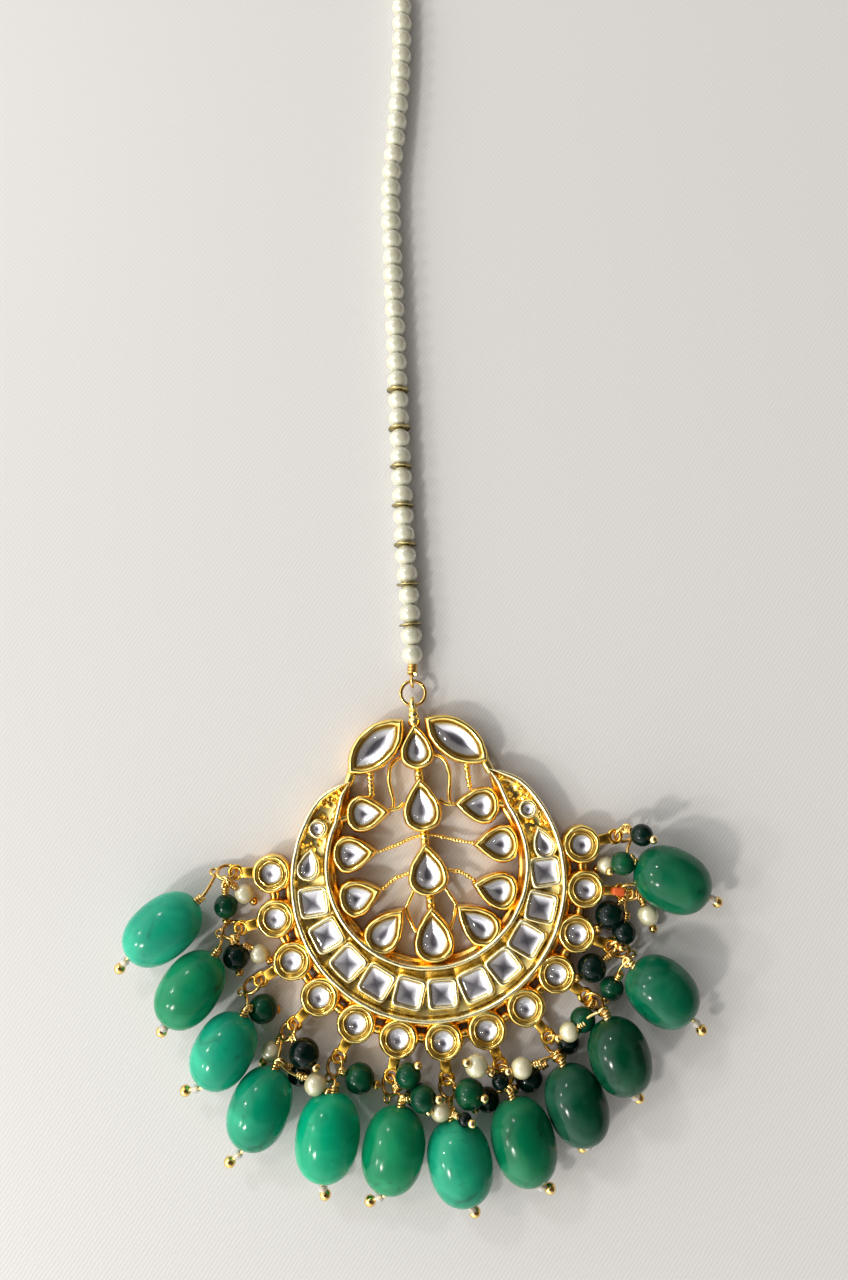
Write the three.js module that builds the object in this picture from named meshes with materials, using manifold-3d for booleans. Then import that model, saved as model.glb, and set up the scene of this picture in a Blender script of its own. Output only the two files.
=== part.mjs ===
// A kundan maang tikka: a hair-parting ornament of pearls, cast gilt metal, foiled glass and green drops.
//
// It lies on its back.  Millimetres, +Z up out of the surface, +Y from the pendant up the pearl string.
// The origin is the middle of the pendant's crescent, on its flat back.

import * as THREE from 'three';
import { mergeVertices } from 'three/addons/utils/BufferGeometryUtils.js';
import Module from 'manifold-3d';

const wasm = await Module();
wasm.setup();

// ---------------------------------------------------------------- driving dimensions

const METAL_HEIGHT = 3.0;        // bezels, from the back to the rim
const POCKET_FLOOR = 1.5;        // height of the seat inside a bezel
const RIM = 0.95;                // wall of a bezel, rounded over on the real piece
const STONE_GAP = 0.15;          // all round a stone, between it and its bezel
const STONE_CROWN = 0.25;        // a stone's table above its rim
const TABLE = 0.62;              // a stone's table, as a share of its girdle
const STONE_SIDES = 10;
const BACK_HEIGHT = 1.7;         // solder webs, bridges and veins, up from the back
const FUSE = 0.05;               // how far soldered pieces run into each other

const CRESCENT = {
  outer: 17.3, inner: 12.2, innerRise: 1.9, height: 3.2, rim: 0.6, floor: 1.9,
  tipAngle: 146, taperFrom: 128, tipRadius: 15.6, ledge: 0.6, ledgeHeight: 1.5,
};

const SQUARES = { each: 5, step: 17.3, turn: 2.0, width: 3.9, glass: 3.0 };

const ROUNDS = { each: 6, step: 16.1, radius: 19.65, rise: 0.25, across: 4.9, glass: 3.2, seat: 2.8 };

const LOOP = { reach: 24.2, hole: 0.48, outer: 1.0, thick: 0.6, height: 1.6, tabWidth: 1.3 };

const JUMP = { radius: 1.2, wire: 0.18, tilt: 18 };

const TOP = { eye: 21.95, eyeRadius: 0.8, eyeWire: 0.35, ring: 23.5, ringRadius: 1.55, ringWire: 0.2 };

const PIN = { wire: 0.27, hole: 0.45, ball: 0.75, beyond: 1.9 };

const PEARL = { across: 2.54, discs: 7, perDisc: 2, discAcross: 2.7, discThick: 0.26, count: 38, neck: 0.35 };

const HOOK = { length: 6.5, width: 4.0, wire: 0.7, from: 0.55, eye: 1.0, end: 2.2 };

// Pear-shaped stones down the middle: middle of the bezel, its length and its width.  Tips point up.
const COLUMN_COLUMNS = ['name', 'y', 'length', 'width'];
const COLUMN = [
  ['top', 16.65, 6.0, 4.4],
  ['upper', 9.3, 7.0, 5.0],
  ['middle', 1.3, 6.8, 5.2],
  ['lower', -6.7, 7.0, 5.2],
];

// Petals, each from its tip to its round end, with its width.
const PETAL_COLUMNS = ['name', 'tipX', 'tipY', 'endX', 'endY', 'width'];
const PETALS = [
  ['petal_left_1', -4.0, 8.7, -9.7, 8.9, 4.8],
  ['petal_left_2', -6.0, 4.0, -11.8, 4.0, 4.8],
  ['petal_left_3', -5.8, -0.7, -11.4, -1.9, 4.8],
  ['petal_left_4', -3.4, -3.2, -8.0, -7.9, 4.7],
  ['petal_right_1', 4.0, 9.0, 9.8, 8.2, 4.8],
  ['petal_right_2', 5.9, 3.7, 11.75, 3.4, 4.8],
  ['petal_right_3', 5.3, -1.0, 10.9, -2.9, 4.8],
  ['petal_right_4', 3.1, -3.4, 7.8, -8.1, 4.7],
];

const LEAF = { tipX: 1.35, tipY: 20.2, endX: 8.95, endY: 13.9, width: 5.1 };

// Veins of the right half, mirrored to the left: start, bend and end.
const VEIN_COLUMNS = ['fromX', 'fromY', 'bendX', 'bendY', 'toX', 'toY'];
const VEINS = [
  [2.6, 15.0, 4.6, 12.2, 4.1, 8.9],
  [0.0, 5.2, 3.0, 5.5, 6.3, 3.9],
  [2.2, 2.4, 4.4, 0.6, 6.0, -0.9],
  [0.0, -2.8, 2.0, -2.5, 3.6, -3.6],
];

// Green drops.  bezel counts the round bezels from the left, 1 to 13; x and y are the drop's middle,
// turn is the way its outer end points, in degrees, and lift is how far it is propped up by a neighbour.
const DROP_COLUMNS = ['bezel', 'x', 'y', 'turn', 'length', 'width', 'lift'];
const DROPS = [
  [1, -33.1, -2.8, 214, 10.4, 7.5, 0],
  [2, -30.2, -10.3, 230, 9.9, 7.3, 0],
  [3, -26.6, -17.8, 236, 9.4, 7.3, 0],
  [4, -22.7, -24.8, 244, 9.8, 7.3, 0],
  [5, -14.8, -28.7, 257, 10.3, 7.7, 0],
  [6, -7.1, -30.9, 255, 10.0, 7.5, 0],
  [7, 0.7, -33.0, 277, 9.9, 7.7, 0],
  [8, 8.5, -31.4, 280, 10.2, 7.6, 0],
  [9, 15.3, -27.9, 284, 9.7, 7.3, 0],
  [10, 20.9, -22.5, 282, 9.2, 7.3, 1.3],
  [11, 27.1, -15.8, 313, 9.2, 7.8, 0],
  [13, 30.0, -2.7, 329, 9.7, 7.8, 0],
];

// The larger round beads beside the drops, each wired to the jump ring of its bezel.
const BEAD_COLUMNS = ['bezel', 'x', 'y', 'z', 'across'];
const BEADS = [
  [1, -25.6, -1.0, 1.6, 3.0],
  [2, -24.7, -7.2, 1.8, 3.3],
  [3, -21.8, -13.7, 1.9, 3.6],
  [4, -16.9, -19.0, 3.5, 3.7],
  [5, -10.6, -22.9, 2.0, 3.7],
  [6, -4.6, -22.8, 3.4, 3.1],
  [6, -3.0, -25.2, 4.8, 3.2],
  [7, 2.6, -25.4, 3.9, 3.7],
  [8, 4.7, -26.9, 1.6, 3.0],
  [9, 10.0, -24.8, 1.8, 3.4],
  [10, 17.2, -18.3, 3.2, 3.1],
  [11, 19.2, -12.6, 1.9, 3.6],
  [11, 21.4, -15.3, 1.6, 3.0],
  [12, 22.1, -6.5, 1.9, 3.6],
  [13, 24.2, -0.2, 3.7, 3.0],
];

// Middle of the pearl string, as it lies.
const STRING_PATH = [
  [0.5, 27.2], [0.8, 35.8], [0.9, 42.5], [1.4, 54.8], [2.3, 73.2], [2.9, 84.8], [3.2, 90.4],
  [3.8, 96.0], [4.8, 101.2], [6.3, 110.3], [7.3, 119.0], [7.8, 127.0], [8.1, 133.0],
];

// ---------------------------------------------------------------- materials

const finish = (color, roughness, metalness) =>
  new THREE.MeshStandardMaterial({ color, roughness, metalness });

const gold = finish(0xd9a93a, 0.28, 1.0);
const glass = finish(0xcfd2d6, 0.08, 0.2);
const emerald = finish(0x0f8f5c, 0.15, 0.0);
const wirework = finish(0xc79a3c, 0.3, 1.0);
const pearl = finish(0xf1ecdc, 0.25, 0.0);

// ---------------------------------------------------------------- solids

const rad = THREE.MathUtils.degToRad;
const rows = (names, table) =>
  table.map((row) => Object.fromEntries(names.map((name, i) => [name, row[i]])));

function solid(geometry) {
  const plain = geometry.index ? geometry.clone() : geometry;
  plain.deleteAttribute('normal');
  plain.deleteAttribute('uv');
  const joined = mergeVertices(plain, 1e-4);
  return new wasm.Manifold(new wasm.Mesh({
    numProp: 3,
    vertProperties: new Float32Array(joined.attributes.position.array),
    triVerts: new Uint32Array(joined.index.array),
  }));
}

const fuse = (pieces) => pieces.reduce((whole, piece) => whole.add(piece));

function meshOf(name, manifold, material) {
  const found = manifold.getMesh();
  const geometry = new THREE.BufferGeometry();
  geometry.setAttribute('position', new THREE.BufferAttribute(new Float32Array(found.vertProperties), 3));
  geometry.setIndex(new THREE.BufferAttribute(new Uint32Array(found.triVerts), 1));
  geometry.computeVertexNormals();
  const mesh = new THREE.Mesh(geometry, material);
  mesh.name = name;
  return mesh;
}

// Outlines: a function of the angle round the stone, 0 at its tip (+Y), giving a point.
const roundOutline = (across) => (t) => [across / 2 * Math.sin(t), across / 2 * Math.cos(t)];
const PEAR_WIDEST = 0.77;
const pearOutline = (length, width) => (t) => [
  width / 2 * Math.sin(t) * Math.abs(Math.sin(t / 2)) / PEAR_WIDEST, length / 2 * Math.cos(t)];
const LEAF_FULLNESS = 2.4;
const leafOutline = (length, width) => (t) => [
  Math.sign(Math.sin(t)) * width / 2 * (1 - Math.abs(Math.cos(t)) ** LEAF_FULLNESS) ** 0.92,
  length / 2 * Math.cos(t)];

function outlinePoints(outline, sides) {
  const points = [];
  for (let i = 0; i < sides; i += 1) {
    points.push(new THREE.Vector2(...outline(2 * Math.PI * i / sides)));
  }
  return points;
}

function slab(points, from, to, holes = []) {
  const shape = new THREE.Shape(points);
  shape.holes = holes.map((hole) => new THREE.Path(hole));
  const geometry = new THREE.ExtrudeGeometry(shape, { depth: to - from, bevelEnabled: false });
  return solid(geometry.translate(0, 0, from));
}

// A cup for a stone: its outline minus a pocket one rim smaller.
function bezel(outline, inner, sides, height = METAL_HEIGHT) {
  const cup = slab(outlinePoints(outline, sides), 0, height);
  return cup.subtract(slab(outlinePoints(inner, sides), POCKET_FLOOR, height + 1));
}

// A cut stone: a straight girdle, sloping crown facets and a flat table.
function cutStone(girdle, from, to, sides = STONE_SIDES) {
  const blank = new THREE.CylinderGeometry(TABLE, 1, 1, sides, 1).rotateX(Math.PI / 2);
  const at = blank.attributes.position;
  for (let i = 0; i < at.count; i += 1) {
    const share = Math.hypot(at.getX(i), at.getY(i));
    const [x, y] = girdle(Math.atan2(at.getX(i), at.getY(i)));
    at.setXYZ(i, x * share, y * share, at.getZ(i) > 0 ? to : from);
  }
  return solid(blank);
}

function place(piece, x, y, turn = 0) {
  return piece.rotate([0, 0, turn]).translate([x, y, 0]);
}

function block(width, length, from, to, x, y, turn) {
  const geometry = new THREE.BoxGeometry(width, length, to - from);
  return place(solid(geometry.translate(0, 0, (from + to) / 2)), x, y, turn);
}

// A wire along points, with five or six sides.
function wire(points, radius, steps) {
  const path = new THREE.CatmullRomCurve3(points.map((p) => new THREE.Vector3(...p)));
  const corners = [0, 1, 2, 3, 4].map((i) => new THREE.Vector2(
    radius * Math.cos(2 * Math.PI * i / 5), radius * Math.sin(2 * Math.PI * i / 5)));
  return solid(new THREE.ExtrudeGeometry(new THREE.Shape(corners), {
    steps, extrudePath: path, bevelEnabled: false }));
}

// A straight wire that starts a little behind its first point, so that it grips a ring there.
function heldWire(from, to, radius) {
  const start = new THREE.Vector3(...from);
  const back = start.clone().sub(new THREE.Vector3(...to)).setLength(radius * 0.9);
  return wire([start.add(back).toArray(), to], radius, 1);
}

const link = (radius, thickness, sides = 5) =>
  solid(new THREE.TorusGeometry(radius, thickness, sides, 10));
const bead = (across, x, y, z, around = 10) =>
  solid(new THREE.SphereGeometry(across / 2, around, 4).rotateX(Math.PI / 2)).translate([x, y, z]);

// ---------------------------------------------------------------- the pendant's frame

// Angles are measured at the crescent's middle, from straight down, positive to the right.
const onArc = (radius, angle, rise = 0) => [
  radius * Math.sin(rad(angle)), rise - radius * Math.cos(rad(angle))];

// The crescent's inner edge is a circle whose middle lies a little above the outer one's.
function innerEdgeAt(angle) {
  const side = CRESCENT.innerRise * Math.sin(rad(angle));
  return -CRESCENT.innerRise * Math.cos(rad(angle)) + Math.sqrt(CRESCENT.inner ** 2 - side ** 2);
}

function crescentOutline(inset) {
  const tip = CRESCENT.tipAngle - inset * 5;
  const steps = 11;
  const outside = [];
  const inside = [];
  for (let i = -steps; i <= steps; i += 1) {
    const angle = tip * i / steps;
    const beyond = Math.max(0, Math.abs(angle) - CRESCENT.taperFrom) / (tip - CRESCENT.taperFrom);
    const outer = THREE.MathUtils.lerp(CRESCENT.outer - inset, CRESCENT.tipRadius, beyond ** 2);
    const inner = THREE.MathUtils.lerp(innerEdgeAt(angle) + inset, CRESCENT.tipRadius, beyond ** 1.4);
    outside.push(new THREE.Vector2(...onArc(outer, angle)));
    if (Math.abs(i) < steps) inside.push(new THREE.Vector2(...onArc(inner, angle)));
  }
  return [...outside, ...inside.reverse()];
}

function crescent() {
  const body = slab(crescentOutline(0), 0, CRESCENT.height);
  const trough = slab(crescentOutline(CRESCENT.rim), CRESCENT.floor, CRESCENT.height + 1);
  return body.subtract(trough);
}

// The step that runs round inside the crescent and carries the petals' round ends.
function ledge() {
  const edge = [];
  const lip = [];
  const steps = 7;
  for (let i = -steps; i <= steps; i += 1) {
    const angle = 138 * i / steps;
    edge.push(new THREE.Vector2(...onArc(CRESCENT.inner + 0.3, angle, CRESCENT.innerRise)));
    lip.push(new THREE.Vector2(...onArc(CRESCENT.inner - CRESCENT.ledge, angle, CRESCENT.innerRise)));
  }
  return slab([...edge, ...lip.reverse()], 0, CRESCENT.ledgeHeight);
}

const squareCorner = (across, cut) => (t) => {
  const angle = ((t * 8) / (2 * Math.PI) + 8) % 8;
  const half = across / 2;
  const corners = [[cut, half], [half, cut], [half, -cut], [cut, -half],
    [-cut, -half], [-half, -cut], [-half, cut], [-cut, half]].map(([x, y]) => [
    Math.abs(x) < half ? Math.sign(x) * (half - cut * 0.25) : x,
    Math.abs(y) < half ? Math.sign(y) * (half - cut * 0.25) : y]);
  return corners[Math.round(angle) % 8];
};

// The stones in the trough, each fused to the box it is set in.
function troughStones() {
  const pieces = [];
  const base = CRESCENT.floor - FUSE;
  const rimTop = CRESCENT.height - 0.15;
  for (let k = -SQUARES.each; k <= SQUARES.each; k += 1) {
    const angle = SQUARES.turn + k * SQUARES.step;
    const [x, y] = onArc((innerEdgeAt(angle) + CRESCENT.outer) / 2, angle);
    pieces.push(block(SQUARES.width, SQUARES.width, base, rimTop, x, y, angle));
    const stone = cutStone(squareCorner(SQUARES.glass, 0.8), rimTop - FUSE, rimTop + 0.4, 8);
    pieces.push(place(stone, x, y, angle));
  }
  for (const side of [-1, 1]) {
    const [pearX, pearY] = onArc(15.1, side * 102.5);
    const turn = side * (102.5 + 4);
    const box = slab(outlinePoints(pearOutline(4.2, 2.9), 8), base, rimTop);
    const pear = cutStone(pearOutline(3.2, 2.0), rimTop - FUSE, rimTop + 0.35, 8);
    pieces.push(place(box.add(pear), pearX, pearY, turn - side * 90));
    const [roundX, roundY] = onArc(15.2, side * 119.5);
    const collet = slab(outlinePoints(roundOutline(2.4), 8), base, rimTop);
    const dot = cutStone(roundOutline(1.6), rimTop - FUSE, rimTop + 0.3, 8);
    pieces.push(place(collet.add(dot), roundX, roundY));
  }
  return pieces;
}

const bezelSpots = [];
for (let k = -ROUNDS.each; k <= ROUNDS.each; k += 1) {
  bezelSpots.push({ number: k + ROUNDS.each + 1, angle: k * ROUNDS.step });
}

// A flat tab on the outer side of a round bezel, its end an eye for the jump ring.
function tab() {
  const foot = -ROUNDS.across / 2 + 0.25;
  const eyeY = ROUNDS.radius - LOOP.reach;
  const half = LOOP.tabWidth / 2;
  const outline = [new THREE.Vector2(-half, foot)];
  for (let turn = 150; turn <= 390; turn += 60) {
    outline.push(new THREE.Vector2(
      LOOP.outer * Math.cos(rad(turn)), eyeY + LOOP.outer * Math.sin(rad(turn))));
  }
  outline.push(new THREE.Vector2(half, foot));
  const eye = outlinePoints(roundOutline(2 * LOOP.hole), 6).map((p) => p.add(new THREE.Vector2(0, eyeY)));
  return slab(outline, LOOP.height - LOOP.thick / 2, LOOP.height + LOOP.thick / 2, [eye]);
}

function roundBezels() {
  const pieces = [];
  for (const { angle } of bezelSpots) {
    const [x, y] = onArc(ROUNDS.radius, angle, ROUNDS.rise);
    const setting = slab(outlinePoints(roundOutline(ROUNDS.across), STONE_SIDES), 0, ROUNDS.seat);
    const stone = cutStone(roundOutline(ROUNDS.glass), ROUNDS.seat - FUSE, METAL_HEIGHT + STONE_CROWN);
    pieces.push(place(setting.add(stone), x, y, angle));
    pieces.push(place(tab(), x, y, angle));
  }
  for (let k = -ROUNDS.each; k < ROUNDS.each; k += 1) {
    const angle = (k + 0.5) * ROUNDS.step;
    const [x, y] = onArc(ROUNDS.radius + 0.1, angle, ROUNDS.rise);
    pieces.push(block(1.3, 1.1, 0.3, BACK_HEIGHT + 0.4, x, y, angle));
  }
  return pieces;
}

const column = rows(COLUMN_COLUMNS, COLUMN);
const petals = rows(PETAL_COLUMNS, PETALS).map((petal) => ({
  name: petal.name,
  x: (petal.tipX + petal.endX) / 2,
  y: (petal.tipY + petal.endY) / 2,
  turn: THREE.MathUtils.radToDeg(Math.atan2(petal.endX - petal.tipX, petal.tipY - petal.endY)),
  length: Math.hypot(petal.endX - petal.tipX, petal.endY - petal.tipY),
  width: petal.width,
}));
const leaves = [-1, 1].map((side) => ({
  name: `leaf_${side < 0 ? 'left' : 'right'}`,
  x: side * (LEAF.tipX + LEAF.endX) / 2,
  y: (LEAF.tipY + LEAF.endY) / 2,
  turn: THREE.MathUtils.radToDeg(Math.atan2(side * (LEAF.endX - LEAF.tipX), LEAF.tipY - LEAF.endY)),
  length: Math.hypot(LEAF.endX - LEAF.tipX, LEAF.tipY - LEAF.endY),
  width: LEAF.width,
}));

// A pear or leaf pocket needs more room at its tip than at its sides.
const TIP_RIM = 1.35;
const pearInner = ({ length, width }, less = RIM) =>
  pearOutline(length - (RIM + TIP_RIM) * less / RIM, width - 2 * less);
const leafInner = ({ length, width }, less = RIM) =>
  leafOutline(length - 2 * TIP_RIM * less / RIM, width - 2 * less);
// The pocket sits lower than the bezel's middle, because the tip's rim is the thicker one.
const pearShift = (RIM - TIP_RIM) / 2;

function centreBezels() {
  const pieces = [];
  for (const stone of column) {
    const outer = outlinePoints(pearOutline(stone.length, stone.width), STONE_SIDES);
    const cup = slab(outer, 0, METAL_HEIGHT + 0.1);
    const pocket = slab(outlinePoints(pearInner(stone), STONE_SIDES), POCKET_FLOOR, METAL_HEIGHT + 1);
    pieces.push(place(cup.subtract(pocket.translate([0, pearShift, 0])), 0, stone.y));
  }
  for (const petal of petals) {
    const cup = slab(outlinePoints(pearOutline(petal.length, petal.width), STONE_SIDES), 0, METAL_HEIGHT);
    const pocket = slab(outlinePoints(pearInner(petal), STONE_SIDES), POCKET_FLOOR, METAL_HEIGHT + 1);
    pieces.push(place(cup.subtract(pocket.translate([0, pearShift, 0])), petal.x, petal.y, petal.turn));
  }
  for (const leaf of leaves) {
    const cup = bezel(leafOutline(leaf.length, leaf.width), leafInner(leaf), STONE_SIDES, METAL_HEIGHT + 0.1);
    pieces.push(place(cup, leaf.x, leaf.y, leaf.turn));
  }
  return pieces;
}

function bridgesAndVeins() {
  const pieces = [];
  for (let i = 0; i + 1 < column.length; i += 1) {
    const from = column[i].y - column[i].length / 2;
    const to = column[i + 1].y + column[i + 1].length / 2;
    pieces.push(block(1.2, from - to + 1.2, 0.3, BACK_HEIGHT, 0, (from + to) / 2, 0));
  }
  for (const side of [-1, 1]) {
    pieces.push(block(1.6, 1.0, 0.3, BACK_HEIGHT, side * 2.35, 17.0, side * 30));
    pieces.push(block(1.1, 2.2, 0.3, BACK_HEIGHT + 0.3, side * 8.75, 13.4, side * 5));
    pieces.push(block(1.2, 2.4, 0.3, BACK_HEIGHT, side * 10.7, 7.9, side * 60));
    for (const vein of rows(VEIN_COLUMNS, VEINS)) {
      const points = [[side * vein.fromX, vein.fromY, 1.0], [side * vein.bendX, vein.bendY, 1.1],
        [side * vein.toX, vein.toY, 1.0]];
      pieces.push(wire(points, 0.3, 2));
    }
  }
  return pieces;
}

function topEye() {
  const eye = link(TOP.eyeRadius, TOP.eyeWire).rotate([0, 90, 0]).translate([0, TOP.eye, LOOP.height]);
  const foot = column[0].y + column[0].length / 2 - 0.8;
  const head = TOP.eye - TOP.eyeRadius + TOP.eyeWire / 2;
  const neck = block(1.1, head - foot, LOOP.height - 0.5, LOOP.height + 0.5, 0, (foot + head) / 2, 0);
  return eye.add(neck);
}

const frame = fuse([
  crescent(), ledge(), ...troughStones(), ...roundBezels(),
  ...centreBezels(), ...bridgesAndVeins(), topEye(),
]);

// ---------------------------------------------------------------- set stones

const tikka = new THREE.Group();
tikka.add(meshOf('pendant_frame', frame, gold));

const seat = POCKET_FLOOR + STONE_GAP;
const lessForStone = RIM + STONE_GAP;
for (const stone of column) {
  const cut = cutStone(pearInner(stone, lessForStone), seat, METAL_HEIGHT + STONE_CROWN);
  tikka.add(meshOf(`stone_${stone.name}`, place(cut, 0, stone.y + pearShift), glass));
}
for (const petal of petals) {
  const cut = cutStone(pearInner(petal, lessForStone), seat, METAL_HEIGHT + STONE_CROWN)
    .translate([0, pearShift, 0]);
  tikka.add(meshOf(`stone_${petal.name}`, place(cut, petal.x, petal.y, petal.turn), glass));
}
for (const leaf of leaves) {
  const cut = cutStone(leafInner(leaf, lessForStone), seat, METAL_HEIGHT + STONE_CROWN);
  tikka.add(meshOf(`stone_${leaf.name}`, place(cut, leaf.x, leaf.y, leaf.turn), glass));
}

// ---------------------------------------------------------------- drops and bead clusters

const OVAL_FULLNESS = 2.2;       // 2 is an ellipsoid, more is squarer
function dropBead(drop) {
  const profile = [];
  const bands = 5;
  const end = drop.length / 2;
  for (let i = 0; i <= bands; i += 1) {
    const along = -Math.cos(Math.PI * i / bands);
    const radius = drop.width / 2 * (1 - Math.abs(along) ** OVAL_FULLNESS) ** (1 / OVAL_FULLNESS);
    profile.push(new THREE.Vector2(Math.max(PIN.hole, radius), end * along));
  }
  profile.push(profile[0].clone());
  return solid(new THREE.LatheGeometry(profile, 10)).rotate([0, 0, drop.turn - 90])
    .translate([drop.x, drop.y, drop.width / 2 + drop.lift]);
}

const drops = rows(DROP_COLUMNS, DROPS);
drops.forEach((drop, i) => {
  tikka.add(meshOf(`drop_${i + 1}`, dropBead(drop), emerald));
});

const beads = rows(BEAD_COLUMNS, BEADS);

function cluster({ number, angle }) {
  const [x, y] = onArc(LOOP.reach + JUMP.radius, angle, ROUNDS.rise);
  const outward = [Math.sin(rad(angle)), -Math.cos(rad(angle))];
  const ring = link(JUMP.radius, JUMP.wire, 4).rotate([90, 0, 90]).rotate([0, JUMP.tilt, 0]);
  const pieces = [place(ring, x, y, angle).translate([0, 0, LOOP.height])];
  const far = [x + outward[0] * JUMP.radius, y + outward[1] * JUMP.radius, LOOP.height];
  const lean = JUMP.radius * Math.sin(rad(JUMP.tilt));
  const high = [x + lean * Math.cos(rad(angle)), y + lean * Math.sin(rad(angle)),
    LOOP.height + JUMP.radius * Math.cos(rad(JUMP.tilt))];
  for (const small of beads.filter((one) => one.bezel === number)) {
    const reach = ([hx, hy, hz]) => Math.hypot(small.x - hx, small.y - hy, small.z - hz);
    const hold = reach(far) < reach(high) ? far : high;
    pieces.push(heldWire(hold, [small.x, small.y, small.z], PIN.wire));
    pieces.push(bead(small.across, small.x, small.y, small.z));
  }
  for (const drop of drops.filter((one) => one.bezel === number)) {
    const dir = [Math.cos(rad(drop.turn)), Math.sin(rad(drop.turn))];
    const height = drop.width / 2 + drop.lift;
    const on = (along, z) => [drop.x + dir[0] * along, drop.y + dir[1] * along, z];
    const end = drop.length / 2;
    const tip = on(end + PIN.beyond, height);
    pieces.push(heldWire(on(-end - 0.3, height), tip, PIN.wire));
    pieces.push(heldWire(far, on(-end - 0.2, height), PIN.wire));
    pieces.push(bead(PIN.ball * 2, ...tip, 6));
  }
  return fuse(pieces);
}

for (const spot of bezelSpots) {
  tikka.add(meshOf(`cluster_${spot.number}`, cluster(spot), wirework));
}

// ---------------------------------------------------------------- the pearl string

const ringSolid = link(TOP.ringRadius, TOP.ringWire, 4).translate([0.2, TOP.ring, LOOP.height]);
tikka.add(meshOf('jump_ring', ringSolid, wirework));

const pearlHeight = PEARL.discAcross / 2;
const stringPath = new THREE.CatmullRomCurve3(
  STRING_PATH.map(([x, y]) => new THREE.Vector3(x, y, pearlHeight)));
const stringLength = stringPath.getLength();
const along = (distance) => stringPath.getPointAt(Math.min(1, distance / stringLength));

// The string in one turned piece: each pearl swells from a neck and back.  The first pairs stand a
// little apart, where a thin spacer disc sits between them.
const PEARL_BELT = 0.45;         // half-width of a pearl's belt, as a share of its radius
const stringProfile = [new THREE.Vector2(0, 0)];
let distance = 0.05;
for (let i = 1; i <= PEARL.count; i += 1) {
  const radius = PEARL.across / 2;
  const middle = distance + radius;
  stringProfile.push(new THREE.Vector2(PEARL.neck, distance));
  stringProfile.push(new THREE.Vector2(radius * 0.97, middle - radius * PEARL_BELT));
  stringProfile.push(new THREE.Vector2(radius * 0.97, middle + radius * PEARL_BELT));
  distance += PEARL.across;
  if (i % PEARL.perDisc === 0 && i / PEARL.perDisc <= PEARL.discs) distance += PEARL.discThick;
}
stringProfile.push(new THREE.Vector2(PEARL.neck, distance), new THREE.Vector2(0, distance + 0.05));

function bentAlongString(geometry) {
  const at = geometry.attributes.position;
  for (let i = 0; i < at.count; i += 1) {
    const share = Math.min(1, at.getY(i) / stringLength);
    const middle = stringPath.getPointAt(share);
    const ahead = stringPath.getTangentAt(share);
    at.setXYZ(i, middle.x + ahead.y * at.getX(i), middle.y - ahead.x * at.getX(i), middle.z + at.getZ(i));
  }
  return geometry;
}

const stringPieces = [solid(bentAlongString(new THREE.LatheGeometry(stringProfile, 10)))];
const stringEnd = along(distance);

// Each end of the string is a closed eye with the wire wrapped round its neck.
const eyeY = TOP.ring + TOP.ringRadius;
const lowerEye = link(0.75, 0.2).rotate([0, 90, 0]).translate([0.2, eyeY, LOOP.height]);
const neck = (x, from, to, z) =>
  solid(new THREE.CylinderGeometry(0.6, 0.6, to - from, 10)).translate([x, (from + to) / 2, z]);
const lowerNeck = neck(0.45, eyeY + 0.65, 27.4, pearlHeight);
const upperNeck = neck(stringEnd.x, stringEnd.y - 0.2, stringEnd.y + 1.2, pearlHeight);
const upperEyeY = stringEnd.y + 2.1;
const UPPER_EYE = 1.1;
const upperEye = link(UPPER_EYE, 0.2).rotate([0, 90, 0]).translate([stringEnd.x, upperEyeY, pearlHeight]);
stringPieces.push(lowerEye, lowerNeck, upperNeck, upperEye);
tikka.add(meshOf('pearl_string', fuse(stringPieces), pearl));

// ---------------------------------------------------------------- the hair hook

// A flat wire: a closed eye that links with the string's eye, and an open hook that slips into the hair.
function hairHook() {
  const half = HOOK.wire / 2;
  const { x } = stringEnd;
  const eyeMiddle = new THREE.Vector2(x, upperEyeY + HOOK.eye);
  const disc = (radius, from, to) => slab(outlinePoints(roundOutline(2 * radius), 12), from, to)
    .translate([eyeMiddle.x, eyeMiddle.y, 0]);
  const eye = disc(HOOK.eye + half, HOOK.from, HOOK.from + HOOK.wire).subtract(disc(HOOK.eye - half, 0, 3));
  const foot = eyeMiddle.y + HOOK.eye;
  const bend = HOOK.width / 2;
  const bendY = foot + HOOK.length - bend;
  const arc = (radius) => [0, 1, 2, 3, 4, 5, 6].map((i) => {
    const turn = rad(180 - 30 * i);
    return new THREE.Vector2(x + bend + radius * Math.cos(turn), bendY + radius * Math.sin(turn));
  });
  const tip = (side) => new THREE.Vector2(x + HOOK.width + side * half, bendY - HOOK.end);
  const shank = (side) => new THREE.Vector2(x + side * half, foot - half * 0.5);
  const outline = [shank(-1), ...arc(bend + half), tip(1), tip(-1), ...arc(bend - half).reverse(), shank(1)];
  return eye.add(slab(outline, HOOK.from, HOOK.from + HOOK.wire));
}

tikka.add(meshOf('hair_hook', hairHook(), wirework));

export default tikka;
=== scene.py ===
# %% [markdown]
# # A maang tikka, dressed for its portrait
# The ornament lies on its back.  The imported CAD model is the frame: it fixes every size and place, and
# this notebook adds the finish, the fine wirework and the small beads.  It starts by loading that frame.

# %% Load the frame
import random
from math import atan2, copysign, cos, degrees, hypot, pi, radians, sin, sqrt

import bmesh
import bpy
from mathutils import Matrix, Vector, noise


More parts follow.
